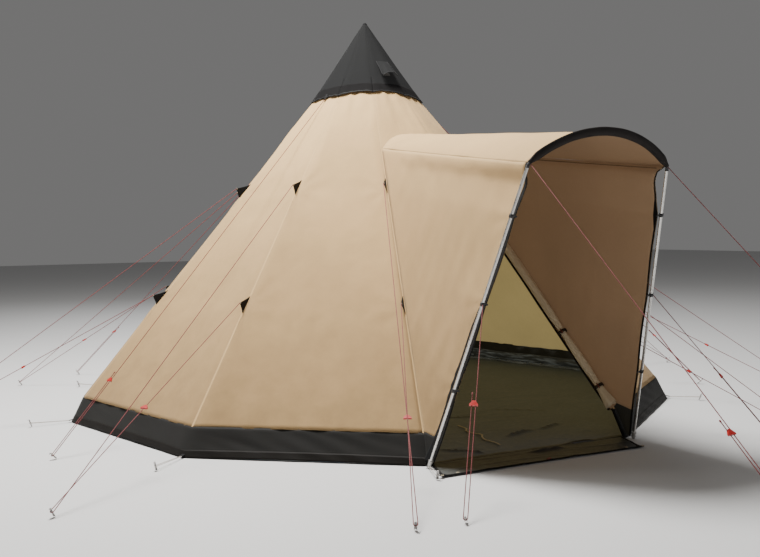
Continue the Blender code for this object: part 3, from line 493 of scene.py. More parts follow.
def around(radius, bearing, height):
    """The point at a bearing about the pole, in degrees, 0 towards the porch."""
    angle = math.radians(bearing)
    return Vector((radius * math.sin(angle), -radius * math.cos(angle), height))


def between(start, end, share):
    """The value or point at a share of the way from start to end."""
    return start + (end - start) * share


def ridge_radius(height):
    """The outer radius of the tent along a corner ridge, below the cap."""
    body_top_radius = cap_hem_radius - cloth_width - clearance
    if height < skirt_height:
        return between(corner_radius, skirt_seam_radius, height / skirt_height)
    share = (cap_hem_height - height) / (cap_hem_height - skirt_height)
    return between(body_top_radius, skirt_seam_radius, share)


def cap_radius(height):
    """The outer radius of the cap along a corner ridge."""
    share = (apex_height - height) / (apex_height - cap_hem_height)
    return cap_hem_radius * share


def frame_matrix(origin, x_axis, y_axis):
    """A placement from an origin and two square directions."""
    z_axis = x_axis.cross(y_axis)
    turn = Matrix((x_axis, y_axis, z_axis)).transposed().to_4x4()
    return Matrix.Translation(origin) @ turn


def leg_ends(side):
    """The foot and the shoulder of a porch leg; side is -1 on the left and 1 on the right."""
    foot = Vector((side * foot_half_spread, -foot_reach, 0))
    shoulder = Vector((side * shoulder_half_spread, -shoulder_reach, shoulder_height))
    return foot, shoulder


def leg_point(side, height):
    """The point of a leg's axis at a height."""
    foot, shoulder = leg_ends(side)
    return between(foot, shoulder, height / shoulder_height)


def arch_axes():
    """The in-plane up direction of the porch arch and the direction back to the tent."""
    lean = math.atan2(porch_lean, shoulder_height)
    up = Vector((0, -math.sin(lean), math.cos(lean)))
    back = Vector((0, math.cos(lean), math.sin(lean)))
    return up, back


def arch_circle():
    """The radius of the porch arch and half the angle that it spans."""
    radius = (shoulder_half_spread**2 + arch_rise**2) / (2 * arch_rise)
    return radius, math.asin(shoulder_half_spread / radius)


def arch_point(angle):
    """The point of the arch at an angle from its top, positive towards +X."""
    radius, half_span = arch_circle()
    up, _ = arch_axes()
    shoulders = Vector((0, -shoulder_reach, shoulder_height))
    centre = shoulders - up * radius * math.cos(half_span)
    return centre + Vector((radius * math.sin(angle), 0, 0)) + up * radius * math.cos(angle)


def arch_run(inset, steps):
    """Points of the arch from left to right, each end drawn in by a length."""
    radius, half_span = arch_circle()
    reach = half_span - inset / radius
    return [arch_point(between(-reach, reach, i / steps)) for i in range(steps + 1)]


def elbow_middle(side):
    """The middle of an elbow's bend and the direction along it there."""
    foot, shoulder = leg_ends(side)
    along = (shoulder - foot).normalized()
    line = arch_run(elbow_arm + 2 * clearance, arch_step_count)
    first, second = (line[0], line[1]) if side < 0 else (line[-1], line[-2])
    arch_way = (second - first).normalized()
    start = shoulder - along * (elbow_arm - clearance)
    end = first - arch_way * 3 * clearance
    bend = []
    for i in range(1, elbow_step_count):
        share = i / elbow_step_count
        before = between(start, shoulder, share)
        after = between(shoulder, end, share)
        bend.append(between(before, after, share))
    middle = len(bend) // 2
    return bend[middle], (bend[middle + 1] - bend[middle - 1]).normalized()


# Placing the camera


def make_camera():
    """The camera at the photograph's place."""
    data = bpy.data.cameras.new("camera")
    data.lens = camera_lens
    data.sensor_width = camera_sensor
    data.shift_x, data.shift_y = camera_shift
    camera = linked("camera", data)
    bearing = math.radians(camera_bearing)
    place = around(camera_distance, camera_bearing, camera_height)
    level = math.cos(camera_pitch)
    ahead, aside = math.cos(bearing) * level, -math.sin(bearing) * level
    forward = Vector((aside, ahead, math.sin(camera_pitch)))
    right = Vector((math.cos(bearing), math.sin(bearing), 0))
    up = right.cross(forward)
    tilted_right = right * math.cos(camera_roll) + up * math.sin(camera_roll)
    tilted_up = -right * math.sin(camera_roll) + up * math.cos(camera_roll)
    camera.matrix_world = frame_matrix(place, tilted_right, tilted_up)
    bpy.context.scene.camera = camera


# Guy routes


def ridge_bearing(number):
    """The bearing of corner ridge 1 to 10; 1 is on the left and 3 and 4 flank the porch."""
    return -half_turn / 2 + face_angle * (number - 1)


def porch_side(number):
    """-1 or 1 for the two ridges that carry a porch wall, and 0 for the others."""
    return {3: -1, 4: 1}.get(number, 0)


def patch_frame(number, height):
    """The placement of a guy patch: its plane holds the ridge and the way out."""
    bearing = ridge_bearing(number)
    side = porch_side(number)
    root = around(ridge_radius(height), bearing, height)
    low = around(ridge_radius(height - patch_fall), bearing, height - patch_fall)
    up_ridge = (root - low).normalized()
    out = around(1, bearing + side * porch_patch_turn, 0)
    out = (out - up_ridge * out.dot(up_ridge)).normalized()
    shift = around(porch_patch_shift, bearing + side * half_turn / 2, 0) * abs(side)
    drop = Vector((0, 0, 0))
    if side:
        drop = around(porch_patch_shift * math.tan(half_face), bearing, 0)
    return frame_matrix(root + shift - drop, out, up_ridge)


def patch_tip(number, height):
    """The outer tip of a guy patch, where its cord starts."""
    return patch_frame(number, height) @ Vector((patch_reach, -patch_tip_drop, 0))


def peg_place(ground_point, pull, across):
    """Where the cord rounds a peg, and the peg's axis, square to the cord's plane."""
    axis = across.cross(pull).normalized()
    if axis.z < 0:
        axis = -axis
    flat = math.sqrt(max(0, 1 - axis.z * axis.z))
    base = ground_point + Vector((0, 0, peg_radius * flat + clearance))
    return base + axis * peg_cord_height, base, axis


def points_between(start, end, steps):
    """Points from start to end."""
    return [between(start, end, i / steps) for i in range(steps + 1)]


def straight(start, end, steps):
    """Points from start to end, the start left out."""
    return points_between(start, end, steps)[1:]


def loop_points(middle, across, pull):
    """The half turn of a cord round its peg."""
    points = []
    for i in range(loop_step_count + 1):
        angle = math.pi * i / loop_step_count
        side = across * cord_loop_radius * math.cos(angle)
        points.append(middle + side - pull * cord_loop_radius * math.sin(angle))
    return points


def two_point_guy(high, low, ground_point):
    """A cord from a high patch round the peg and up through a runner to a low patch."""
    pull = ((high - ground_point).normalized() + (low - ground_point).normalized()).normalized()
    across = pull.cross(upward).normalized()
    middle, base, axis = peg_place(ground_point, pull, across)
    loop = loop_points(middle, across, pull)
    start = high + (loop[0] - high).normalized() * cord_start_gap
    end = low - (low - loop[-1]).normalized() * cord_start_gap
    points = [start] + straight(start, loop[0], cord_run_count) + loop[1:]
    points += straight(loop[-1], end, cord_run_count)
    return {"points": points, "base": base, "axis": axis, "pull": pull, "ends": "object"}


def one_point_guy(top, ground_point, runner_share):
    """A cord from one point round the peg and back up to a knot above its runner."""
    pull = (top - ground_point).normalized()
    across = pull.cross(upward).normalized()
    middle, base, axis = peg_place(ground_point, pull, across)
    for _ in range(3):
        pull = (top - middle - across * cord_loop_radius).normalized()
        across = pull.cross(upward).normalized()
        middle, base, axis = peg_place(ground_point, pull, across)
    loop = loop_points(middle, across, pull)
    length = (top - loop[0]).length
    knot = 2 * cord_radius
    tail = loop[-1] + pull * (length * runner_share + cord_tail)
    points = [top] + straight(top, loop[0], cord_run_count) + loop[1:]
    points += straight(loop[-1], tail, 3)
    points += [tail + pull * knot, tail + pull * knot * 2, tail + pull * knot * 3]
    return {"points": points, "base": base, "axis": axis, "pull": pull, "ends": "knot"}


def cord_exit(anchor, axis, radius, ground_point):
    """Where a cord from a round piece's axis to the ground leaves that piece."""
    way = (ground_point - anchor).normalized()
    along = way.dot(axis)
    outward = (way - axis * along).normalized()
    return anchor + outward * (radius + clearance + cord_radius * abs(along))


def guy_plans():
    """Every guy of the tent by name."""
    plans = {}
    for number in corner_numbers:
        high = patch_tip(number, patch_heights[0])
        low = patch_tip(number, patch_heights[1])
        radius = ridge_peg_radius * ridge_peg_shares[number - 1]
        bearing = ridge_bearing(number) + ridge_peg_turns[number - 1]
        plans[f"ridge_{number:02d}"] = two_point_guy(high, low, around(radius, bearing, 0))
    for index, name in enumerate(storm_names):
        hem = cap_hem_radius * math.cos(half_face)
        top = around(hem, storm_hem_bearings[index], cap_hem_height)
        radius = storm_peg_radius * storm_peg_shares[index]
        ground_point = around(radius, storm_peg_bearings[index], 0)
        top += (ground_point - top).normalized() * cord_start_gap
        plans[f"storm_{name}"] = one_point_guy(top, ground_point, storm_runner_share)
    for index, side in enumerate((-1, 1)):
        foot, shoulder = leg_ends(side)
        along = (shoulder - foot).normalized()
        ring = tube_radius + clearance + clip_wall
        anchor = leg_point(side, clip_heights[porch_guy_clip])
        ground_point = Vector((side * porch_peg_spread, -porch_peg_reach, 0))
        top = cord_exit(anchor, along, ring, ground_point)
        plans["porch" + side_name(side)] = one_point_guy(top, ground_point, porch_runner_share)
        anchor, along_elbow = elbow_middle(side)
        ground_point = Vector((shoulder_peg_spreads[index], -shoulder_peg_reaches[index], 0))
        top = cord_exit(anchor, along_elbow, tube_radius, ground_point)
        plans["shoulder" + side_name(side)] = one_point_guy(
            top, ground_point, shoulder_runner_share)
    return plans


def side_name(side):
    """The ending of a left or right piece's name."""
    return "_left" if side < 0 else "_right"


def linked(name, data):
    """A new object in the scene."""
    made = bpy.data.objects.new(name, data)
    bpy.context.scene.collection.objects.link(made)
    return made


def add_piece(name, data, body="tent"):
    """Links an object to the scene and rides it on a body."""
    piece = linked(name, data)
    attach(piece, body)
    return piece


# Meshes of cloth, tape and rod


def grid_of(steps_up, steps_across, spot):
    """Rows of cells; spot(across, up) gives a point, its map in metres and its seam distance."""
    rows = []
    for i in range(steps_up + 1):
        rows.append([spot(j / steps_across, i / steps_up) for j in range(steps_across + 1)])
    return rows


def face_grids(steps_up, steps_across, cell, faces=corner_numbers):
    """A grid for each face; cell(face, across, up) gives its cells."""
    return [grid_of(steps_up, steps_across, partial(cell, face)) for face in faces]


def finished(work, name):
    """The mesh of a work mesh that is done."""
    mesh = bpy.data.meshes.new(name)
    work.to_mesh(mesh)
    work.free()
    return mesh


def outward_of(centre):
    """The level direction away from the pole."""
    return Vector((centre.x, centre.y, 0))


def cloth_mesh(name, grids, outward=None):
    """One mesh of several grids, welded where they meet."""
    work = bmesh.new()
    maps = work.loops.layers.uv.new("cloth")
    seams = work.verts.layers.float.new("seam")
    for rows in grids:
        corners = []
        for row in rows:
            line = []
            for point, _, seam in row:
                corner = work.verts.new(point)
                corner[seams] = seam
                line.append(corner)
            corners.append(line)
        for i in range(len(rows) - 1):
            for j in range(len(rows[i]) - 1):
                around_face = ((i, j), (i, j + 1), (i + 1, j + 1), (i + 1, j))
                face = work.faces.new([corners[a][b] for a, b in around_face])
                face.smooth = True
                for loop, (a, b) in zip(face.loops, around_face):
                    loop[maps].uv = rows[a][b][1]
    if outward:
        turn_faces(work, outward)
    bmesh.ops.remove_doubles(work, verts=work.verts, dist=weld)
    return finished(work, name)


def turn_faces(work, outward):
    """Turns each face towards outward(centre)."""
    wrong = []
    for face in work.faces:
        face.normal_update()
        if face.normal.dot(outward(face.calc_center_median())) < 0:
            wrong.append(face)
    bmesh.ops.reverse_faces(work, faces=wrong)


def joined(name, meshes):
    """One mesh of several plain ones."""
    work = bmesh.new()
    for mesh in meshes:
        work.from_mesh(mesh)
        bpy.data.meshes.remove(mesh)
    return finished(work, name)


def ringed(name, rings, closed=False, capped=True):
    """A surface through rings of points; closed joins the last ring to the first."""
    work = bmesh.new()
    made = [[work.verts.new(point) for point in ring] for ring in rings]
    pairs = list(zip(made, made[1:]))
    if closed:
        pairs.append((made[-1], made[0]))
    for low, high in pairs:
        count = len(low)
        for k in range(count):
            after = (k + 1) % count
            work.faces.new((low[k], low[after], high[after], high[k])).smooth = True
    if capped and not closed:
        work.faces.new(list(reversed(made[0])))
        work.faces.new(made[-1])
    bmesh.ops.recalc_face_normals(work, faces=work.faces)
    return finished(work, name)


def way_at(points, index, closed=False):
    """The direction along a row of points."""
    count = len(points)
    if closed:
        before, after = points[(index - 1) % count], points[(index + 1) % count]
    else:
        before, after = points[max(0, index - 1)], points[min(count - 1, index + 1)]
    return (after - before).normalized()


def circle(centre, first, second, radius, steps):
    """Points of a circle in the plane of two square directions."""
    points = []
    for k in range(steps):
        angle = 2 * math.pi * k / steps
        points.append(centre + (first * math.cos(angle) + second * math.sin(angle)) * radius)
    return points


def ring_points(centre, axis, start_way, radius, steps):
    """Points of a circle about an axis."""
    first = (start_way - axis * start_way.dot(axis)).normalized()
    return circle(centre, first, axis.cross(first), radius, steps)


def tube_mesh(name, points, radius, sides=10, radii=None, closed=False):
    """A round rod or cord through points."""
    rings = []
    normal = way_at(points, 0, closed).orthogonal().normalized()
    for index, point in enumerate(points):
        way = way_at(points, index, closed)
        normal = (normal - way * normal.dot(way)).normalized()
        size = radii[index] if radii else radius
        rings.append(circle(point, normal, way.cross(normal), size, sides))
    return ringed(name, rings, closed)


def tape_mesh(name, points, ways, width, thickness, closed=False, widths=None):
    """A flat tape through points; ways are the directions of its width."""
    rings = []
    for index, point in enumerate(points):
        way = way_at(points, index, closed)
        across = (ways[index] - way * ways[index].dot(way)).normalized()
        normal = way.cross(across)
        half = (widths[index] if widths else width) / 2
        thick = thickness / 2
        rings.append([point + across * (half * x) + normal * (thick * y) for x, y in tape_section])
    return ringed(name, rings, closed)


def solid_piece(name, mesh, material, body="tent"):
    """A piece with one material that rides on a body."""
    piece = add_piece(name, mesh, body)
    mesh.materials.append(looks[material])
    return piece


def merged_piece(name, meshes, material, body="tent"):
    """A piece made of several plain meshes."""
    return solid_piece(name, joined(name, meshes), material, body)


def cloth_piece(name, mesh, materials, layer, body="tent", offset=-1.0):
    """A cloth piece with its thickness; a second material lies on its inner side."""
    piece = solid_piece(name, mesh, materials[0], body)
    for material in materials[1:]:
        mesh.materials.append(looks[material])
    solid = piece.modifiers.new("thickness", "SOLIDIFY")
    solid.thickness = layer
    solid.offset = offset
    solid.material_offset = len(materials) - 1
    return piece


def sheet_piece(name, grids, materials, layer, body="tent", offset=-1.0, outward=outward_of):
    """A cloth piece made from its grids."""
    mesh = cloth_mesh(name, grids, outward)
    return cloth_piece(name, mesh, materials, layer, body, offset)


def ripple(point, waves, seed=0.0):
    """Smooth noise of about -1 to 1 at a point; waves is how many fit in a metre."""
    return noise.noise(Vector((point.x + seed, point.y - seed, point.z + seed)) * waves)


def fade(value, low, high):
    """A smooth step from 0 at low to 1 at high."""
    share = min(1.0, max(0.0, (value - low) / (high - low)))
    return share * share * (3 - 2 * share)


def arc(share):
    """0 at both ends of a span and 1 in its middle."""
    return math.sin(math.pi * share)


def upward_of(centre):
    """Straight up, for sheets that lie flat."""
    return upward


# Tent canvas


def face_width(height, radius_at=ridge_radius):
    """The width of a face from ridge to ridge."""
    return 2 * radius_at(height) * math.sin(half_face)


def sloped(bearing, low, high, radius_at):
    """The outward direction at a bearing, square to the slope between two heights."""
    rise = (radius_at(low) - radius_at(high)) / (high - low)
    return (around(1, bearing, 0) + Vector((0, 0, rise))).normalized()


def face_normal(face, low=slope_low, high=slope_high, radius_at=ridge_radius):
    """The outward normal of face 1 to 10, which lies after its corner ridge."""
    bearing = ridge_bearing(face) + face_angle / 2
    rise = (radius_at(low) - radius_at(high)) * math.cos(half_face) / (high - low)
    return (around(1, bearing, 0) + Vector((0, 0, rise))).normalized()


def face_point(face, across, height, radius_at=ridge_radius):
    """A point of a flat face; across runs from its first ridge, 0, to the next, 1."""
    radius = radius_at(height)
    start = around(radius, ridge_bearing(face), height)
    end = around(radius, ridge_bearing(face + 1), height)
    return between(start, end, across)


def rounded(face, across, height, lift, radius_at=ridge_radius, low=slope_low, high=slope_high,
            round_reach=ridge_round):
    """A point of a face whose two ridges are rounded off, lifted out by a distance."""
    width = face_width(height, radius_at)
    reach = min(across, 1 - across) * width
    turn = min(round_reach, width * most_round_share)
    near = max(0.0, 1 - reach / turn)
    sink = near * near * turn * math.tan(half_face) / 2
    ridge = face if across < 0.5 else face + 1
    flat = face_normal(face, low, high, radius_at)
    edge = sloped(ridge_bearing(ridge), low, high, radius_at)
    normal = flat.lerp(edge, near).normalized()
    return face_point(face, across, height, radius_at) + normal * (lift - sink)


def patch_drag(across, height):
    """Fine folds that spread from the guy patches at the two ridges of a face."""
    total = 0.0
    width = face_width(height)
    for edge in (0, 1):
        run = abs(across - edge) * width
        for patch in patch_heights:
            rise = height - patch + patch_fall / 2
            reach = math.hypot(run, rise)
            angle = math.atan2(rise, run)
            folds = math.cos(drag_fold_count * angle + patch)
            total += math.exp(-reach / drag_reach) * folds * fade(reach, *drag_start)
    return total * drag_depth


def canvas_relief(face, across, height):
    """How far the canvas stands out of its flat face."""
    flat = face_point(face, across, height)
    middle = arc(across)
    rise = (height - skirt_height) / (cap_hem_height - skirt_height)
    edge = fade(middle, 0, 0.4)
    sink = -face_sink * middle * arc(min(1.0, max(0.0, rise)))
    slack = slack_depth * ripple(flat, 1.3, face * 3.1)
    narrow = Vector((flat.x * 2.2, flat.y * 2.2, flat.z * 0.7))
    creases = crease_depth * ripple(narrow, 3.1, 7.7)
    fine = crease_depth * 0.4 * ripple(narrow, 9.0, 2.3)
    hem = math.exp(-(height - skirt_height) / hem_fold_reach)
    hem_folds = hem_fold_depth * hem * math.sin(across * math.pi * hem_fold_count + face * 1.7)
    hem_folds *= 0.6 + 0.4 * ripple(flat, 2.0, 1.1)
    neck = fade(height, cap_hem_height - neck_fold_reach, cap_hem_height + 0.1)
    neck_folds = neck_fold_depth * neck * (math.cos(across * neck_fold_count * math.pi) - 1) / 2
    own = (slack + creases + fine + hem_folds + neck_folds) * edge
    return sink + own + patch_drag(across, height)


def crease_height_at(share):
    """The height of the seam of porch roof and front face, share from -1 to 1."""
    return crease_height + crease_rise * (1 - share * share)


def canvas_cell(face, across, height):
    """A cell of the canvas."""
    width = face_width(height)
    point = rounded(face, across, height, canvas_relief(face, across, height))
    seam = min(across, 1 - across) * width
    return point, ((across - 0.5) * width + face * 2.0, height * slope_stretch), seam


def strip_cell(first, across, up):
    """A cell of the narrow strip of the front face beside the doorway."""
    height = between(skirt_height, crease_height - crease_lap, up)
    width = face_width(height)
    inset = strip_width * across
    place = inset / width if first else 1 - inset / width
    wave = strip_wave * ripple(Vector((0, 0, height)), 5, 3 if first else 9) * across
    point = rounded(door_face, place, height, wave)
    return point, (inset, height * slope_stretch), strip_width - inset


def make_canvas():
    """The ten gores; the front one is open under the porch."""
    top = cap_hem_height + cap_lap - canvas_top_gap

    def gore(face, across, up):
        return canvas_cell(face, across, between(skirt_height, top, up))

    def over_crease(across, up):
        low = crease_height_at(2 * across - 1) - crease_lap
        return canvas_cell(door_face, across, between(low, top, up))

    grids = face_grids(canvas_row_count, canvas_column_count, gore, closed_faces)
    grids.append(grid_of(crease_row_count, canvas_column_count, over_crease))
    for first in (True, False):
        grids.append(grid_of(strip_row_count, strip_column_count, partial(strip_cell, first)))
    # Its inner side is painted light: yellower and glowing.
    piece = sheet_piece("tent_canvas", grids, ("canvas", "canvas_inside_painted_light"), canvas_layer)
    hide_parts("tent_body")
    return piece


def seam_cell(number, across, up):
    """A cell of the felled seam that stands proud along a corner ridge."""
    height = between(skirt_height, cap_hem_height + ridge_seam_lap, up)
    width = face_width(height)
    reach = (2 * across - 1) * seam_half_width
    face = number if reach >= 0 else (number - 2) % corner_count + 1
    place = abs(reach) / width if reach >= 0 else 1 - abs(reach) / width
    lift = seam_lift * (1 if abs(2 * across - 1) < 0.9 else -1)
    point = rounded(face, place, height, lift + patch_drag(place, height))
    return point, (reach, height * slope_stretch), abs(reach)


def make_ridge_seams():
    """The seams of the ten corner ridges."""
    grids = face_grids(seam_row_count, seam_column_count, seam_cell)
    mesh = cloth_mesh("ridge_seams", grids, outward_of)
    return solid_piece("ridge_seams", mesh, "canvas_seam")


def fin_cell(place, share, out):
    """A cell of a guy patch; share runs up it and out away from the ridge."""
    top = between(patch_rise, -patch_tip_drop + fin_tip_half, out**fin_curve)
    bottom = between(-patch_fall, -patch_tip_drop - fin_tip_half, out**fin_curve)
    reach = between(-fin_root, patch_reach - fin_tip_gap, out)
    up = between(bottom, top, share)
    bend = fin_bend * arc(out) * (share - fin_bend_middle)
    return place @ Vector((reach, up, bend)), (reach, up), 1.0


def make_patches():
    """The twenty stiff dark fins in the ridges, and the tape loop at each fin's tip."""
    fins, loops = [], []
    for number in corner_numbers:
        for height in patch_heights:
            place = patch_frame(number, height)
            turn = place.to_3x3()
            rows = grid_of(fin_step_count, fin_step_count, partial(fin_cell, place))
            fins.append(cloth_mesh("fin", [rows]))
            centre = place @ Vector((patch_reach - patch_loop_inset, -patch_tip_drop, 0))
            axis = (turn @ Vector((0.8, -0.6, 0))).normalized()
            points = ring_points(centre, axis, turn @ upward, patch_loop_radius, 14)
            loops.append(tube_mesh("loop", points, patch_loop_cord, 6, closed=True))
    piece = cloth_piece("guy_patches", joined("guy_patches", fins), ("webbing",), fin_layer,
                        offset=0)
    merged_piece("patch_loops", loops, "pale_tape")
    return piece


def make_storm_tabs():
    """The short tapes under the cap's hem that hold the storm guys."""
    meshes = []
    for index, bearing in enumerate(storm_hem_bearings):
        end = guy_plans()["storm_" + storm_names[index]]["points"][0]
        out = around(1, bearing, 0)
        height = end.z + storm_tab_length
        top = around(cap_radius(height) * math.cos(half_face) + storm_tab_lift, bearing, height)
        points = points_between(top, end + out * 0.002, 6)
        ways = [out.cross(upward)] * len(points)
        meshes.append(tape_mesh("storm_tab", points, ways, storm_tab_width, thin_tape))
    merged_piece("storm_tabs", meshes, "webbing")


# Mud skirt and cap


def skirt_cell(face, across, height, lift=0.0):
    """A cell of the mud skirt."""
    width = face_width(height)
    middle = arc(across)
    edge = fade(middle, 0, 0.35)
    flat = face_point(face, across, height)
    slant = Vector((flat.x * 3 + flat.z * 9, flat.y * 3 - flat.z * 7, flat.z * 4))
    folds = skirt_fold_depth * ripple(slant, 1.7, face * 1.3)
    small = math.sin(across * 40 + height * 60 + face) * fade(middle, 0.2, 1)
    folds += skirt_fold_depth * 0.5 * small
    belly = -skirt_belly * arc(min(1.0, height / skirt_height)) * middle
    low = 1 - height / skirt_height
    raised = Vector((0, 0, skirt_arch * middle * max(0.0, low)))
    out = lift + (folds + belly) * edge
    point = rounded(face, across, height, out, ridge_radius, 0.0, skirt_height, skirt_round)
    return point + raised, ((across - 0.5) * width + face * 2.0, height), height


def skirt_upper(face, start, end, across, up):
    """A cell of the skirt between two shares of its face."""
    height = between(0.0, skirt_height + skirt_tuck, up)
    out = -skirt_tuck_depth * fade(height, skirt_height - skirt_tuck_reach, skirt_height)
    return skirt_cell(face, between(start, end, across), height, out)


def skirt_lower(face, start, end, across, up):
    """A cell of the skirt's hem between two shares of its face."""
    height = between(0.0, skirt_hem_height, up)
    point, place, _ = skirt_cell(face, between(start, end, across), height, skirt_hem_lift)
    return point, place, skirt_hem_height - height


def make_skirt():
    """The dark mud skirt and the doubled hem along its foot."""
    grids, hems = [], []
    for face in corner_numbers:
        spans = [(0.0, 1.0, skirt_column_count)]
        if face == door_face:
            spans = [(0.0, door_skirt_share, 4), (1 - door_skirt_share, 1.0, 4)]
        for start, end, columns in spans:
            upper = partial(skirt_upper, face, start, end)
            lower = partial(skirt_lower, face, start, end)
            grids.append(grid_of(skirt_row_count, columns, upper))
            hems.append(grid_of(skirt_hem_row_count, columns, lower))
    # The skirt's inner side is painted light.
    skirt = sheet_piece("mud_skirt_cloth", grids, ("skirt_cloth", "skirt_inside_painted_light"), canvas_layer)
    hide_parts("mud_skirt")
    hem = sheet_piece("mud_skirt_hem", hems, ("skirt_hem",), hem_layer)
    return skirt, hem


def front_rise(face, across):
    """How much higher the cap's hem sits towards the front."""
    bearing = ridge_bearing(face) + face_angle * across
    gap = abs((bearing - cap_front_bearing + half_turn) % (2 * half_turn) - half_turn)
    return cap_front_rise * (1 - fade(gap, 0, cap_front_reach))


def cap_low(face, across):
    """The wavy lower edge of the cap."""
    wave = arc(across)
    flutter = math.sin(across * cap_wave_count * math.pi + face * 2.2) * fade(wave, 0, 0.5)
    return cap_hem_height + front_rise(face, across) + cap_scallop * wave + cap_flutter * flutter


def cap_cell(face, across, height, lift=0.0):
    """A cell of the cap."""
    width = face_width(height, cap_radius)
    flat = face_point(face, across, height, cap_radius)
    middle = arc(across)
    folds = cap_fold_depth * ripple(flat, 5.0, face) * fade(middle, 0, 0.5)
    foot = math.exp(-max(0.0, height - cap_hem_height - front_rise(face, across)) / cap_flare_reach)
    flare = cap_flare * foot * (0.7 + 0.3 * math.sin(across * cap_wave_count * math.pi + face))
    out = lift + folds + flare * (1 - 0.4 * middle)
    low, high = cap_hem_height, apex_height - cap_tip_drop
    point = rounded(face, across, height, out, cap_radius, low, high, cap_round)
    seam = min(across, 1 - across) * width
    return point, ((across - 0.5) * width + face * 1.0, height * cap_stretch), seam


def cap_main(face, across, up):
    """A cell of the cap's own cloth."""
    top = apex_height - cap_tip_drop - cap_top_gap
    return cap_cell(face, across, between(cap_low(face, across), top, up**0.9))


def cap_band(face, across, up):
    """A cell of the doubled band along the cap's hem."""
    top = cap_hem_height + cap_band_height + front_rise(face, across) * 0.6
    height = between(cap_low(face, across), top, up)
    point, place, _ = cap_cell(face, across, height, cap_band_lift)
    return point, place, top - height


def cap_binding(face, across, up):
    """A cell of the binding of the cap's lower edge."""
    low = cap_low(face, across)
    height = between(low - 0.001, low + cap_binding_height, up)
    return cap_cell(face, across, height, cap_band_lift + 0.0012)


def make_cap():
    """The cap with its band and binding, and the turned button over its tip."""
    cap = sheet_piece("cap_cloth", face_grids(46, 18, cap_main), ("cap_cloth",),
                      canvas_layer)
    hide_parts("apex_cap")
    band = sheet_piece("cap_band", face_grids(8, 24, cap_band), ("cap_hem",),
                       band_layer)
    edge = sheet_piece("cap_binding", face_grids(3, 24, cap_binding), ("webbing",),
                       band_layer)
    rings = []
    for radius, drop in cap_tip_profile:
        height = apex_height - cap_tip_drop + drop
        rings.append([around(radius, 360 * k / 30, height) for k in range(30)])
    tip = solid_piece("cap_tip", ringed("cap_tip", rings), "cap_cloth")
    return cap, [band, edge, tip]


def vent_axes():
    """The vent's hinge point, the way up the cap's front face and the way out of it."""
    apothem = cap_radius(vent_top_height) * math.cos(half_face)
    hinge = Vector((vent_offset, -apothem, vent_top_height))
    slope = cap_hem_radius * math.cos(half_face) / (apex_height - cap_hem_height)
    up = Vector((0, slope, 1)).normalized()
    out = Vector((0, -1, slope)).normalized()
    return hinge, up, out


def make_vent_opening():
    """The net over the vent's opening in the cap, and the rim of the opening."""
    hinge, up, out = vent_axes()
    across = Vector((1, 0, 0))

    def net_cell(x, y):
        place = hinge + out * vent_net_lift + across * ((x - 0.5) * vent_hole_width)
        place -= up * (vent_hole_drop + vent_hole_length * (1 - y))
        return place, (x * vent_hole_width, y * vent_hole_length), 1.0

    screen = cloth_mesh("vent_net", [grid_of(10, 8, net_cell)], outward_of)
    solid_piece("vent_net", screen, "vent_net")
    corners = [(-0.5, 0), (0.5, 0), (0.5, 1), (-0.5, 1)]
    rim_width = vent_hole_width + 2 * vent_rim_lap
    rim_length = vent_hole_length + 2 * vent_rim_lap
    rim = []
    for index in range(4):
        start, end = corners[index], corners[(index + 1) % 4]
        for step in range(4):
            x = between(start[0], end[0], step / 4)
            y = between(start[1], end[1], step / 4)
            place = hinge + out * vent_rim_lift + across * (x * rim_width)
            rim.append(place - up * (vent_hole_drop - vent_rim_lap + y * rim_length))
    ways = [out.cross(way_at(rim, i, True)) for i in range(len(rim))]
    mesh = tape_mesh("vent_rim", rim, ways, vent_rim_width, vent_rim_layer, closed=True)
    solid_piece("vent_rim", mesh, "cap_cloth")


def make_vent():
    """The propped hood that turns with the vent's body."""
    hinge, up, out = vent_axes()
    across = Vector((1, 0, 0))
    angle = math.radians(vent_open_angle)
    down = (-up * math.cos(angle) + out * math.sin(angle)).normalized()
    swell_way = (out * math.cos(angle) + up * math.sin(angle)).normalized()
    start = hinge + out * (vent_cloth / 2 + clearance)

    def hood_cell(x, y):
        side = 2 * x - 1
        swell = vent_bulge * y * (1 - side * side)
        ruck = vent_ruck * math.sin(side * 8 + y * 5) * y
        half_width = between(vent_top_width, vent_width, y) / 2
        place = start + across * (side * half_width) + down * (y * vent_length)
        return place + swell_way * (swell + ruck), (side * 0.06, y * 0.19), (1 - abs(side)) * 0.06

    # The hood's underside is painted light.
    hood = sheet_piece("vent_hood", [grid_of(22, 18, hood_cell)], ("cap_cloth", "vent_hood_underside_painted_light"),
                       cloth_layer, "vent", 0.0)
    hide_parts("vent_flap")
    edges = [([hood_cell(x, i / 14)[0] for i in range(15)], across) for x in (0.0, 1.0)]
    edges.append(([hood_cell(i / 14, 1.0)[0] for i in range(15)], down))
    meshes = []
    for line, way in edges:
        ways = [way] * len(line)
        meshes.append(tape_mesh("edge", line, ways, vent_edge_width, vent_edge_layer))
    merged_piece("vent_hood_edge", meshes, "webbing", "vent")
    prop = []
    for i in range(13):
        prop.append(hood_cell(0.5, vent_prop_start + vent_prop_share * i / 12)[0]
                    - swell_way * vent_prop_drop)
    solid_piece("vent_prop", tube_mesh("vent_prop", prop, vent_prop_radius, 8), "webbing",
                "vent")
    return hood


# Groundsheet


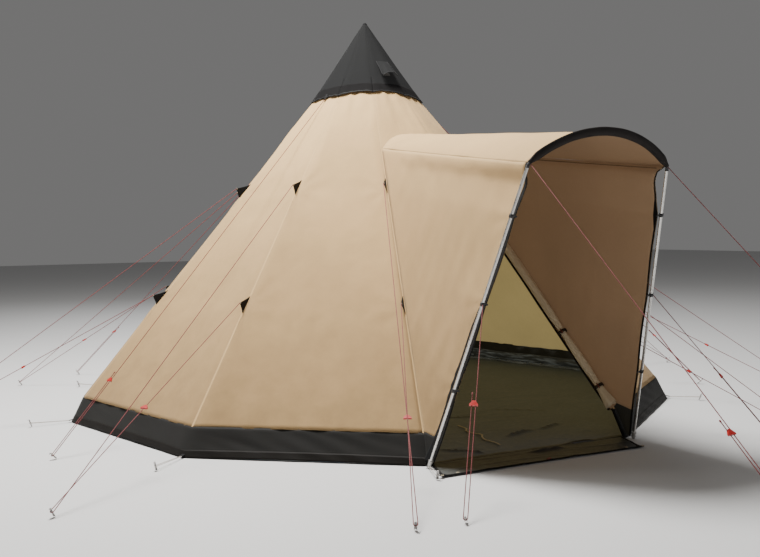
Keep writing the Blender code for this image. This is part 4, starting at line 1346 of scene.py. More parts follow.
def folds_at(x, y):
    """For each fold of the floor at a point: its rise, how near its crest is and on which side."""
    spot = Vector((x, y, 0))
    found = []
    for start_x, start_y, end_x, end_y, rise in floor_folds:
        start, end = Vector((start_x, start_y, 0)), Vector((end_x, end_y, 0))
        along = (end - start).normalized()
        gap = spot - start
        share = gap.dot(along) / (end - start).length
        side = gap.cross(along).z + 0.03 * ripple(spot, 5.0, rise * 900)
        ends = fade(share, 0.0, 0.3) * fade(1 - share, 0.0, 0.3)
        near = max(0.0, 1 - abs(side) / floor_fold_width) * ends
        if near > 0:
            found.append((rise, near, side))
    return found


def floor_height(x, y):
    """The height of the groundsheet's upper side, with its creases."""
    spot = Vector((x, y, 0))
    clear = fade(spot.length, 0.08, 0.4)
    broad = ripple(spot, 0.9, 4.0) * 0.5 + 0.5
    streak = abs(ripple(Vector((x * 0.7, y * 3.0, 0)), 1.6, 2.0))
    sharp = max(0.0, 1 - streak / 0.16) ** 2
    cross = max(0.0, 1 - abs(ripple(Vector((x * 2.0, y * 1.1, 3)), 1.9, 6.0)) / 0.12) ** 2
    height = floor_layer + clear * floor_crease * (0.35 * broad + 0.45 * max(sharp, 0.7 * cross))
    return height + sum(rise * near * near for rise, near, _ in folds_at(x, y))


def painted_fold_shade(x, y):
    """1 on open floor, less in the fold that lies along a crest's near side: painted shade in the
    folds, darker on one side of the crest.
    """
    mark = 1.0
    for _, near, side in folds_at(x, y):
        mark = min(mark, 1 - near * (0.9 if side > 0 else 0.2))
    return mark


def sheet_ring(face, across, share):
    """A point of the floor on the way from the pole, 0, to the rim of the floor, 1."""
    start = around(sheet_radius, ridge_bearing(face), 0)
    end = around(sheet_radius, ridge_bearing(face + 1), 0)
    return between(start, end, across) * share


def floor_cell(face, across, up):
    """A cell of the floor."""
    spot = sheet_ring(face, across, between(floor_hole_share, 1.0, up))
    place = Vector((spot.x, spot.y, floor_height(spot.x, spot.y)))
    # The seam value carries the painted shade of the folds.
    return place, (spot.x, spot.y), painted_fold_shade(spot.x, spot.y)


def upstand_cell(face, across, up):
    """A cell of the groundsheet's upstand; it sags and ruckles between its corners."""
    shrink = (sheet_radius - sheet_upstand_inset * up) / sheet_radius
    base = sheet_ring(face, across, 1.0)
    middle = arc(across)
    place = Vector((base.x * shrink, base.y * shrink, 0))
    spot = Vector((place.x * 1.4, place.y * 1.4, up * 0.22))
    ruck = upstand_ruck * ripple(spot, 4.2, face) + upstand_ruck * 0.5 * ripple(spot, 10, face)
    ruck *= arc(min(1.0, up + 0.12)) * fade(middle, 0, 0.3) * fade(up, 0, 0.2)
    sag = upstand_sag * middle * up * (0.6 + 0.4 * math.sin(across * 11 + face))
    height = between(0.001, sheet_upstand_height, up) - sag
    inward = -face_normal(face)
    inward.z = 0
    belly = sheet_belly * arc(up) * middle
    point = place + inward.normalized() * (ruck + belly)
    point.z = height + 0.3 * ruck
    return point, (across * face_map_width + face * 2, up * 0.12), (1 - up) * 0.11


def cove_cell(face, across, up):
    """A cell of the upstand's slack, which lies in low ruckles on the floor before it."""
    base = sheet_ring(face, across, 1.0)
    wave = 0.75 + 0.25 * ripple(base, 1.1, 9.0)
    shrink = 1 - cove_width * wave * (1 - up) / sheet_radius
    place = Vector((base.x * shrink, base.y * shrink, 0))
    spot = Vector((place.x * 2.2, place.y * 2.2, 0))
    swell = abs(ripple(spot, 2.3, 3.0)) + 0.5 * abs(ripple(spot, 6.0, 8.0))
    lift = cove_rise * swell * arc(up) * fade(arc(across), 0, 0.15)
    gap = 0.0016 * (1 - up) + 0.0009
    place.z = floor_height(place.x, place.y) * (1 - up) + gap + lift
    return place, (across * face_map_width + face * 2, 0.12 + (1 - up) * cove_width), 0.2


def lip_spot(across, up):
    """A point of the lip under the porch, from the doorway, 0, to its front edge, 1."""
    x = (2 * across - 1) * sheet_lip_half_width + sheet_lip_shift * up
    reach = door_line + (sheet_lip_reach - door_line) * up
    bow = lip_bow * arc(across) * up
    curl = lip_curl * fade(up, 0.75, 1.0) * (0.5 + 0.5 * ripple(Vector((x, 0, 0)), 3, 5))
    return Vector((x, -reach + bow, floor_height(x, -reach) + curl))


def lip_cell(across, up):
    """A cell of the lip."""
    spot = lip_spot(across, up)
    # The seam value carries the painted shade of the folds.
    return spot, (spot.x, spot.y), painted_fold_shade(spot.x, spot.y)


def make_groundsheet():
    """The groundsheet's floor with its lip, and its upstand."""
    grids = []
    for face in corner_numbers:
        columns = door_floor_columns if face == door_face else floor_columns
        grids.append(grid_of(floor_row_count, columns, partial(floor_cell, face)))
    grids.append(grid_of(lip_row_count, door_floor_columns, lip_cell))
    mesh = cloth_mesh("groundsheet_cloth", grids, upward_of)
    # Faces in front of a line just inside the doorway take the lip's material; the rest take the
    # lighter, bluer floor that is painted light.
    for polygon in mesh.polygons:
        if polygon.center.y < -door_line + lip_switch:
            polygon.material_index = 1
    floor = cloth_piece("groundsheet_cloth", mesh, ("floor_cloth", "lip_cloth", "floor_under"),
                        floor_cloth_layer)
    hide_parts("groundsheet")
    rises = []
    for face in corner_numbers:
        if face != door_face:
            rises.append(grid_of(12, 46, partial(upstand_cell, face)))
        if min((face - door_face) % corner_count, (door_face - face) % corner_count) > 2:
            rises.append(grid_of(14, 46, partial(cove_cell, face)))
    upstand = sheet_piece("groundsheet_upstand", rises, ("upstand_cloth",), cloth_layer)
    return floor, upstand


def mirrored(side, offset):
    """An offset given for the right, turned round for the left."""
    return Vector((side * offset[0], offset[1], offset[2]))


def make_lip_trim():
    """The lip's bound edge, tabs, eyelets and toggle, and the strap on the floor."""
    line = [lip_spot(i / 60, 1.0) for i in range(61)]
    left = [lip_spot(0.0, 1 - i / 8) for i in range(1, 9)]
    right = [lip_spot(1.0, 1 - i / 8) for i in range(8, 0, -1)]
    edge = right + list(reversed(line)) + left
    ways = [upward.cross(way_at(edge, index)) for index in range(len(edge))]
    raised = [point + Vector((0, 0, 0.0005)) for point in edge]
    binding = tape_mesh("lip_binding", raised, ways, lip_binding_width, lip_binding_layer)
    solid_piece("lip_binding", binding, "webbing")
    meshes, rings = [], []
    for side in (-1, 1):
        corner = lip_spot(0.5 + side * 0.5, 1.0)
        start = corner - mirrored(side, lip_tab_start)
        end = start + mirrored(side, lip_tab_run)
        points = points_between(start, end, 6)
        waves = [Vector((0, 0, lip_tab_wave * math.sin(i))) for i in range(7)]
        points = [point + wave for point, wave in zip(points, waves)]
        ways = [Vector((0.4 * side, 1, 0))] * 7
        meshes.append(tape_mesh("tab", points, ways, lip_tab_width, lip_tab_layer))
        centre = corner + mirrored(side, lip_ring_place)
        inner = lip_spot(0.5 + side * lip_eyelet_place[0], lip_eyelet_place[1])
        inner += Vector((0, 0, lip_eyelet_lift))
        for spot, (radius, cord) in ((centre, lip_ring_sizes), (inner, lip_eyelet_sizes)):
            points = ring_points(spot, upward, Vector((1, 0, 0)), radius, 20)
            rings.append(tube_mesh("eyelet", points, cord, 8, closed=True))
    merged_piece("lip_tabs", meshes, "webbing")
    merged_piece("lip_eyelets", rings, "pale_tape")
    strap = []
    for i in range(41):
        share = i / 40
        x = between(strap_start[0], strap_end[0], share)
        y = between(strap_start[1], strap_end[1], share)
        x += strap_sways[0] * math.sin(share * strap_waves[0]) * arc(share)
        y += strap_sways[1] * math.sin(share * strap_waves[1] + 1) * arc(share)
        strap.append(Vector((x, y, floor_height(x, y) + strap_lift)))
    ways = [upward.cross(way_at(strap, i)) for i in range(len(strap))]
    mesh = tape_mesh("door_strap", strap, ways, strap_width, thin_tape)
    solid_piece("door_strap", mesh, "pale_tape")
    spot = lip_spot(lip_toggle_share, 1.0) + Vector(lip_toggle_place)
    run_x, run_y = lip_toggle_run
    bars = [spot + Vector((run_x * (i / 8 - 0.5), run_y * (i / 8 - 0.5), 0)) for i in range(9)]
    toggle = tube_mesh("lip_toggle", bars, 0.006, 14, radii=lip_toggle_radii)
    solid_piece("lip_toggle", toggle, "toggle_plastic")


# Porch cloth


def crease_point(share):
    """The seam of porch roof and tent front, from the left ridge, -1, to the right, 1."""
    height = crease_height_at(share)
    half_width = ridge_radius(crease_height) * math.sin(half_face)
    apothem = ridge_radius(height) * math.cos(half_face)
    return Vector((share * half_width, -apothem - wall_stand_off - cloth_thickness, height))


def roof_front(share):
    """A point of the roof's front edge, behind the sleeve, from -1 to 1."""
    _, half_span = arch_circle()
    _, back = arch_axes()
    return arch_point(share * half_span) + back * (sleeve_half_depth + sleeve_gap)


def eave_way(side):
    """The outward direction at the edge of roof and wall."""
    return Vector((side * 0.917, 0, 0.40)).normalized()


def eave(side, along):
    """The edge that roof and wall share, from the tent, 0, to the arch, 1, rounded off."""
    flat = between(crease_point(side), roof_front(side), along)
    return flat - eave_way(side) * (eave_sink * max(0.0, arc(along)) ** 0.5)


def roof_cell(across, along):
    """A cell of the porch roof, from the tent to the arch."""
    share = 2 * across - 1
    flat = between(crease_point(share), roof_front(share), along)
    width = between(0.62, 1.15, along)
    reach = (1 - abs(share)) * width / 2
    near = max(0.0, 1 - reach / eave_round)
    ends = arc(along) ** 0.5
    sink = eave_sink * near * near * ends
    slope = Vector((share * 0.68, 0, 0.73)).normalized()
    sag = roof_sag * arc(along) * (1 - share * share)
    slack = roof_slack * ripple(flat, 2.4, 3.3) * ends
    fans = 0.0
    for side in (-1, 1):
        gap = flat - crease_point(side)
        distance = gap.length
        angle = math.atan2(abs(gap.x), -gap.y)
        fans += math.exp(-distance / 0.3) * math.cos(angle * 16) * fade(distance, 0.02, 0.12)
    gather = roof_gather * math.cos(across * 52) * math.exp(-(1 - along) / 0.10) * (1 - along)
    lift = slack + roof_fan * fans * ends + gather * 6
    way = slope.lerp(eave_way(1 if share > 0 else -1), near)
    point = flat + slope * (lift - sag) - way * sink
    return point, (share * width / 2, along * 1.25), min(reach, along * 0.75)


def make_roof():
    """The porch roof."""
    # The roof's inner side is painted shade.
    piece = sheet_piece("porch_roof_cloth", [grid_of(64, 64, roof_cell)],
                        ("canvas", "porch_inside_painted_shade"), canvas_layer,
                        outward=upward_of)
    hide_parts("porch_roof")
    return piece


def hem_bow(side, rise_height):
    """How far the wall's front edge is drawn in from its leg at a height."""
    stops = (wall_bottom_height, *clip_heights, shoulder_height)
    for low, high, depth in zip(stops, stops[1:], hem_bows[side]):
        if rise_height <= high:
            share = (rise_height - low) / (high - low)
            return depth * arc(max(0.0, share)) ** 1.3
    return 0.0


def wall_root(side, rise):
    """The wall's edge at the tent."""
    height = between(wall_bottom_height, crease_point(side).z, rise)
    stand_off = wall_stand_off + 0.001
    return around(ridge_radius(height) + stand_off, side * face_angle / 2, height)


def wall_hem(side, rise):
    """The wall's front edge, inside its leg."""
    height = between(wall_bottom_height, shoulder_height, rise)
    near_top = fade(rise, hem_top_shares[side], 1.0)
    drawn_in = hem_top_insets[side] * fade(rise, 0.90, 0.97)
    inset = (hem_inset + hem_bow(side, height) + drawn_in) * (1 - near_top)
    _, back = arch_axes()
    end = leg_point(side, height) - Vector((side * inset, 0, 0))
    return end + back * ((sleeve_half_depth + sleeve_gap) * near_top)


def wall_cell(side, across, rise, lift=0.0):
    """A cell of a porch wall; across runs from the tent to the leg."""
    root, hem = wall_root(side, rise), wall_hem(side, rise)
    flat = between(root, hem, across)
    near = max(0.0, 1 - (1 - rise) * 2.0 / eave_round)
    ends = arc(across) ** 0.5 if 0 < across < 1 else 0.0
    flat -= eave_way(side) * (eave_sink * near * near * ends)
    if rise >= 1:
        flat = eave(side, across)
    width = (hem - root).length
    out = Vector((side, 0, 0))
    middle = arc(across)
    inner = fade(middle, 0, 0.3) * fade(rise, 0.0, 0.12) * fade(1 - rise, 0.0, 0.06)
    sag = -wall_sag * middle * arc(rise)
    slack = wall_slack * ripple(flat, 1.8, side * 2.1)
    steep = Vector((flat.x, flat.y * 2.6 + flat.z * 0.9, flat.z * 0.8))
    creases = wall_crease * ripple(steep, 2.8, 5.5 + side)
    pulls = 0.0
    for clip in clip_heights:
        gap = math.hypot(width * (1 - across), (rise * shoulder_height - clip) * 1.2)
        turn = math.atan2(rise * shoulder_height - clip, width * (1 - across) + 0.001)
        pulls += math.exp(-gap / 0.16) * math.cos(turn * 9) * fade(gap, 0.01, 0.08)
    eaves = math.exp(-(1 - rise) / 0.06) * math.cos(across * 34 + rise * 30)
    eaves *= fade(1 - rise, 0, 0.02)
    own = (slack + creases + wall_eave * eaves) * inner + wall_pull * pulls * fade(across, 0.3, 1)
    edge = fade(1 - across, 0, 0.08) + 0.15
    point = flat + out * ((sag + own) * min(1.0, edge) + lift)
    seam = min(across * width, (1 - rise) * 2)
    return point, (across * width + 20 + side, rise * 2.05), seam


def sideways(side):
    """What turns a porch wall's faces outward."""
    return lambda centre: Vector((side, 0, 0))


def make_wall(side):
    """A porch wall with its dark foot."""
    foot_share = wall_foot_shares[side]

    def upper(across, up):
        return wall_cell(side, across, between(foot_share, 1.0, up))

    def lower(across, up):
        lift = 0.0004 * side * (1 if up < 0.9 else 0)
        point, place, _ = wall_cell(side, across, between(0.0, foot_share + 0.004, up), lift)
        return point, place, 1.0

    # The wall's inner side is painted shade.
    wall = sheet_piece("porch_wall_cloth" + side_name(side), [grid_of(84, 44, upper)],
                       ("canvas", "porch_inside_painted_shade"), canvas_layer,
                       outward=sideways(side))
    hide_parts("porch_wall" + side_name(side))
    foot = sheet_piece("porch_wall_foot" + side_name(side), [grid_of(12, 14, lower)],
                       ("skirt_cloth", "skirt_inside_painted_light"), foot_layer, offset=0.0,
                       outward=sideways(side))
    return wall, foot


def make_wall_hem(side):
    """The dark band sewn over the wall's front edge, and the reinforcements behind the clips."""
    narrow, wide = hem_band_widths[side]

    def band_cell(across, up):
        width = between(wide, narrow, fade(up, 0.45, 0.62)) * (1 - 0.6 * fade(up, 0.88, 1.0))
        whole = (wall_hem(side, up) - wall_root(side, up)).length
        point, place, _ = wall_cell(side, 1 - width / whole * (1 - across), up)
        return point, place, min(across, 1 - across) * width

    band = sheet_piece("porch_hem" + side_name(side), [grid_of(110, 8, band_cell)], ("webbing",),
                       hem_band_thickness, offset=0.0, outward=sideways(side))
    tabs = []
    for height, share in zip(clip_heights, tab_shares):
        rise = (height - wall_bottom_height) / (shoulder_height - wall_bottom_height)
        tabs.append(tab_mesh(side, rise, share))
    return [band, merged_piece("porch_hem_tabs" + side_name(side), tabs, "webbing")]


def tab_mesh(side, rise, size):
    """The triangular reinforcement sewn to the wall behind a clip, on both of its sides."""

    def tab_cell(share_up, share):
        up = (share_up - 0.5) * 2
        across = 1.0 - tab_reach * size * (1 - abs(up)) * (1 - share) - 0.002
        point, place, _ = wall_cell(side, across, rise + up * tab_rise * size)
        return point, place, 1.0

    flat = cloth_mesh("tab", [grid_of(8, 8, tab_cell)])
    work = bmesh.new()
    work.from_mesh(flat)
    bpy.data.meshes.remove(flat)
    bmesh.ops.dissolve_degenerate(work, edges=work.edges, dist=0.0002)
    bmesh.ops.recalc_face_normals(work, faces=work.faces)
    whole = work.faces[:] + work.edges[:] + work.verts[:]
    bmesh.ops.solidify(work, geom=whole, thickness=tab_layer)
    bmesh.ops.translate(work, vec=(tab_layer / 2 * side, 0, 0), verts=work.verts)
    return finished(work, "tab")


def make_eave_seams():
    """The dark tape over the seam of porch roof and walls, on the inner side."""
    meshes = []
    for side in (-1, 1):
        shares = [between(0.02, 0.985, i / 60) for i in range(61)]
        points = [wall_cell(side, share, eave_tape_rise, -eave_tape_inset)[0] for share in shares]
        meshes.append(tape_mesh("eave_tape", points, [-upward] * 61, eave_tape_width, 0.0016))
    merged_piece("eave_seams", meshes, "seam_tape")


def make_clips(side):
    """The three moulded clips that hold a wall to its leg."""
    foot, shoulder = leg_ends(side)
    along = (shoulder - foot).normalized()
    inward = Vector((-side, 0, 0))
    inward = (inward - along * inward.dot(along)).normalized()
    round_way = along.cross(inward)
    inner = tube_radius + clearance
    outer = inner + clip_wall
    rib, half = outer + 0.0012, clip_half_length
    lower = [(inner, -half), (outer - 0.001, -half), (outer, -half + 0.0012), (outer, -0.004),
             (rib, -0.002)]
    section = lower + [(radius, -rise) for radius, rise in reversed(lower)]
    meshes = []
    for height in clip_heights:
        centre = leg_point(side, height)
        rings = []
        for k in range(clip_side_count):
            angle = 2 * math.pi * k / clip_side_count
            way = inward * math.cos(angle) + round_way * math.sin(angle)
            rings.append([centre + way * radius + along * rise for radius, rise in section])
        meshes.append(ringed("clip", rings, closed=True))
        end = centre + inward * (hem_inset + 0.010)
        points = points_between(centre + inward * (outer - 0.001), end, 6)
        arm = tape_mesh("arm", points, [along] * 7, clip_arm_width, clip_arm_layer,
                        widths=clip_arm_widths)
        meshes.append(arm)
        stud_at = end - inward * 0.004
        stud = [stud_at + round_way * (t * clip_stud_reach) for t in (-1, -0.6, 0.6, 1)]
        meshes.append(tube_mesh("stud", stud, 0.005, 12, radii=clip_stud_radii))
    merged_piece("leg_clips" + side_name(side), meshes, "black_plastic")


def make_sleeve():
    """The dark sleeve along the arch, pinched to points over its elbows."""
    radius, half_span = arch_circle()
    up, back = arch_axes()
    reach = half_span - 0.004 / radius
    rings = []
    ridges = []
    for i in range(sleeve_step_count + 1):
        share = -1 + 2 * i / sleeve_step_count
        angle = share * reach
        centre = arch_point(angle)
        out = Vector((math.sin(angle), 0, 0)) + up * math.cos(angle)
        end_gap = (1 - abs(share)) * reach * radius
        pinch = between(sleeve_pinch, 1.0, fade(end_gap, 0.0, 0.075))
        flat = between(0.98, 1.0, fade(end_gap, 0.0, 0.03))
        ring = []
        for k in range(sleeve_side_count):
            turn = 2 * math.pi * k / sleeve_side_count
            spot = Vector((i * 0.11, math.cos(turn) * 1.3, math.sin(turn) * 1.3))
            ruck = 1 + 0.035 * noise.noise(spot)
            square = 1.0 + 0.06 * math.cos(4 * turn)
            depth = sleeve_half_depth * math.cos(turn) * flat * square * ruck
            tall = sleeve_half_width * math.sin(turn) * pinch * square * ruck
            ring.append(centre + back * depth + out * tall)
        rings.append(ring)
        ridges.append((centre + back * (sleeve_half_depth * 0.9), out))
    mesh = ringed("arch_sleeve_cloth", rings, capped=False)
    piece = cloth_piece("arch_sleeve_cloth", mesh, ("sleeve_cloth",), cloth_layer)
    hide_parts("arch_sleeve")
    piping = []
    for offset in (-sleeve_piping_share, sleeve_piping_share):
        points = []
        for ring, (centre, out) in zip(rings[3:-3], ridges[3:-3]):

            def gap(point, centre=centre, out=out, offset=offset):
                behind = max(0, (point - centre).dot(back))
                return abs((point - centre).dot(out) - offset * sleeve_half_width) + 10 * behind

            points.append(min(ring, key=gap))
        eased = [(a + b * 2 + c) / 4 for a, b, c in zip(points, points[1:], points[2:])]
        piping.append(tube_mesh("cord", [points[0], *eased, points[-1]], sleeve_piping_radius, 6))
    merged_piece("sleeve_piping", piping, "webbing")
    return piece


# Rolled door


def roll_frame():
    """Directions at the right porch ridge: across, into the tent and up along the ridge."""
    low = around(ridge_radius(skirt_height), face_angle / 2, skirt_height)
    high = around(ridge_radius(cap_hem_height), face_angle / 2, cap_hem_height)
    up = (high - low).normalized()
    across = Vector((1, 0, 0))
    across = (across - up * across.dot(up)).normalized()
    return across, up.cross(across), up


def roll_radius_at(height):
    """How the roll narrows towards its top."""
    rise = (height - roll_bottom_height) / (roll_top_height - roll_bottom_height)
    return roll_radius * between(1, roll_top_share, rise)


def roll_spread(height):
    """How far the loose foot of the roll spreads."""
    low, high = roll_bottom_height + 0.02, roll_bottom_height + roll_flare_reach
    return 1 + roll_flare * (1 - fade(height, low, high))


def roll_centre(height):
    """The roll's centre line, in the corner of the right ridge and the right wall."""
    across, inward, _ = roll_frame()
    radius = roll_radius_at(height) * roll_spread(height)
    ridge = around(ridge_radius(height), face_angle / 2, height)
    return ridge - across * (radius + roll_side_gap) - inward * (radius + roll_front_gap)


def roll_swell(height):
    """The share of its full radius that the roll has at a height, drawn in at its ties."""
    share = 1.0
    for tie in tie_heights:
        far = fade(abs(height - tie), tie_half_length, tie_half_length + tie_pinch_reach)
        share = min(share, between(roll_waist_share - 0.03, 1.0, far))
    return share * roll_spread(height)


def roll_cell(turn, rise):
    """A cell of the rolled door: a spiral that starts inside and ends in its free edge."""
    height = between(roll_bottom_height, roll_top_height, rise)
    across, inward, up = roll_frame()
    radius = roll_radius_at(height) * roll_swell(height)
    angle = 2 * math.pi * (turn * roll_turn_count) + roll_start_turn
    sweep = height * 0.9 + angle
    broad = Vector((math.cos(sweep) * 1.5, math.sin(sweep) * 1.5, height * 1.7))
    small = Vector((math.cos(angle) * 3, math.sin(angle) * 3, height * 4.5))
    ruck = roll_fold * noise.noise(broad)
    ruck += roll_fold * 0.5 * noise.noise(small)
    flat = roll_flat * math.cos(2 * (angle - math.radians(roll_flat_turn)))
    full = 1 - roll_flat - roll_fold / 2 + (flat + ruck) * turn
    reach = radius * between(0.30, 0.985, turn**0.8) * full
    end = 0.0
    if rise < 0.02:
        end = 0.006 * math.sin(angle * 1.5)
    if rise > 0.98:
        end = 0.010 * math.sin(angle * 1.3)
    way = across * math.cos(angle) + inward * math.sin(angle)
    point = roll_centre(height) + way * reach + up * end
    return point, (turn * 0.55, height), min(1 - turn, turn) * 0.55


def make_roll():
    """The door, rolled up and tied back, with its zip edge and its two ties."""
    # The roll is painted lighter than the canvas, standing in for light in the porch's shade; its
    # inner side is painted shade.
    piece = sheet_piece("door_roll_cloth", [grid_of(120, 84, roll_cell)],
                        ("door_cloth_painted_light", "porch_inside_painted_shade"), cloth_layer, outward=None)
    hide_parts("door_roll")
    edge = [roll_cell(1.0, i / 90)[0] for i in range(91)]
    ways = [point - roll_cell(0.985, i / 90)[0] for i, point in enumerate(edge)]
    mesh = tape_mesh("door_roll_edge", edge, ways, roll_edge_width, roll_edge_layer)
    solid_piece("door_roll_edge", mesh, "webbing")
    across, inward, up = roll_frame()
    slant = math.radians(tie_toggle_turn)
    for index, height in enumerate(tie_heights):
        centre = roll_centre(height)
        inner = roll_radius_at(height) * roll_waist_share
        points = ring_points(centre, up, -across, inner + 0.0016, 40)
        strap = tape_mesh("strap", points, [up] * 40, 2 * tie_half_length, tie_layer,
                          closed=True)
        spot = centre - (across * math.cos(slant) + inward * math.sin(slant)) * (inner + 0.0065)
        start = spot - up * tie_toggle_length / 2
        bars, radii = [], []
        for i in range(13):
            share = i / 12
            bars.append(start + up * (tie_toggle_length * share))
            radii.append(0.0034 + 0.0020 * arc(share) - (0.0014 if i in (0, 12) else 0))
        ring = ring_points(spot, up, across, tie_loop_radius, 20)
        loop = tube_mesh("loop", ring, 0.0013, 8, closed=True)
        tie = solid_piece(f"door_tie_cloth_{index + 1}", strap, "tie_tape")
        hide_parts(f"door_tie_{index + 1}")
        solid_piece(f"door_toggle_{index + 1}", tube_mesh("toggle", bars, 0.005, 14, radii=radii),
                    "toggle_plastic")
        solid_piece(f"door_toggle_loop_{index + 1}", loop, "tie_tape")
    return piece


def make_door_zips():
    """The zip tapes along the doorway's sloping edges, and their teeth."""
    tapes, teeth = [], []
    for first in (True, False):
        points, ways = [], []
        for i in range(zip_step_count + 1):
            point = strip_cell(first, 1.0, i / zip_step_count)[0]
            points.append(point - face_normal(door_face) * zip_inset)
            ways.append(point - strip_cell(first, 0.8, i / zip_step_count)[0])
        tapes.append(tape_mesh("tape", points, ways, zip_tape_width, zip_tape_layer))
        run = [point + way.normalized() * zip_teeth_reach for point, way in zip(points, ways)]
        teeth.append(tube_mesh("teeth", run, zip_teeth_radius, 8))
    merged_piece("door_zip_tapes", tapes, "webbing")
    merged_piece("door_zip_teeth", teeth, "black_plastic")


# Cords, pegs and corner loops


def peg_mesh_of(base, axis, lean):
    """A pressed V-section steel peg above the ground, with its hooked head."""
    across = axis.cross(lean).normalized()
    face = across.cross(axis).normalized()
    rings = []
    t = peg_sheet
    for rise, share in peg_stations:
        arm = peg_arm * share
        fold = peg_arm * peg_fold_share * share
        outline = [(-arm, fold), (0, -fold * 0.5), (arm, fold), (arm - t * 1.6, fold + t * 0.7),
                   (0, -fold * 0.5 + 2.4 * t), (-arm + t * 1.6, fold + t * 0.7)]
        rings.append([base + axis * rise + across * x + face * y for x, y in outline])
    tip = base + axis * peg_hook_height
    hook = []
    for i in range(9):
        angle = math.pi * i / 8
        hook.append(tip + face * (peg_hook_radius - peg_hook_radius * math.cos(angle))
                    - axis * (0.002 - 0.0052 * math.sin(angle)))
    return joined("peg", [ringed("peg", rings), tube_mesh("hook", hook, peg_hook_wire, 8)])


def cord_piece(name, points, radius, material, knot_start):
    """A cord through points, knotted from one point up to the last but one."""
    curve = bpy.data.curves.new(name, "CURVE")
    curve.dimensions = "3D"
    curve.bevel_depth = radius
    curve.bevel_resolution = 3
    curve.use_fill_caps = True
    spline = curve.splines.new("POLY")
    spline.points.add(len(points) - 1)
    for index, point in enumerate(points):
        spline.points[index].co = (*point, 1.0)
        if knot_start <= index < len(points) - 1:
            spline.points[index].radius = cord_knot_share
    curve.materials.append(looks[material])
    cord = add_piece(name, curve)
    return cord


def make_guys():
    """The cords, each replacing its solid, with its peg."""
    for name, plan in guy_plans().items():
        points = plan["points"]
        knot_start = len(points) - 3 if plan["ends"] == "knot" else len(points)
        cord = cord_piece("cord_" + name, points, cord_radius, "guy_cord", knot_start)
        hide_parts("guy_line_" + name)
        shape = peg_mesh_of(plan["base"], plan["axis"], -plan["pull"])
        peg = solid_piece("peg_" + name, shape, "peg_steel")


def corner_loop(number):
    """A cord loop and its peg at a skirt corner; gives the tab or ring that holds the loop."""
    bearing = ridge_bearing(number)
    at_porch = porch_side(number)
    corner = leg_ends(at_porch)[0] if at_porch else around(corner_radius, bearing, 0)
    way = around(1, bearing + corner_peg_turns[number - 1], 0)
    across = upward.cross(way).normalized()
    loop_rise = Vector((0, 0, foot_loop_height))
    root = corner + way * (0.020 if at_porch else 0.012) + loop_rise
    axis = (upward + way * corner_peg_lean).normalized()
    lift = Vector((0, 0, corner_peg_lift))
    base = corner + way * corner_loop_lengths[number - 1] + lift
    turn_at = base + axis * corner_loop_height
    pull = (root - turn_at).normalized()
    side = pull.cross(axis).normalized()
    if side.dot(across) < 0:
        side = -side
    first = turn_at + side * corner_loop_radius
    last = turn_at - side * corner_loop_radius
    points = points_between(root + across * 0.005, first, 9)[:-1]
    for i in range(13):
        angle = math.pi * i / 12
        points.append(turn_at + side * corner_loop_radius * math.cos(angle)
                      - pull * corner_loop_radius * math.sin(angle))
    points += straight(last, root - across * 0.005, 9)
    cord = cord_piece(f"corner_loop_{number:02d}", points, corner_cord_radius, "corner_cord",
                      len(points))
    shape = peg_mesh_of(base, axis, way)
    peg = solid_piece(f"corner_peg_{number:02d}", shape, "peg_steel")
    if at_porch:
        rim = ring_points(corner + loop_rise, upward, way, corner_ring_radius, 24)
        return tube_mesh("ring", rim, corner_ring_cord, 8, closed=True)
    start = corner - way * 0.03 + Vector((0, 0, 0.024))
    tape = points_between(start, root + way * 0.004, 5)
    return tape_mesh("tab", tape, [across] * 6, corner_tab_width, corner_tab_layer)


def make_corner_loops():
    """The cord loops that peg the skirt's corners down."""
    tabs = [corner_loop(number) for number in corner_numbers if corner_loop_lengths[number - 1]]
    merged_piece("corner_tabs", tabs, "webbing")


# Materials


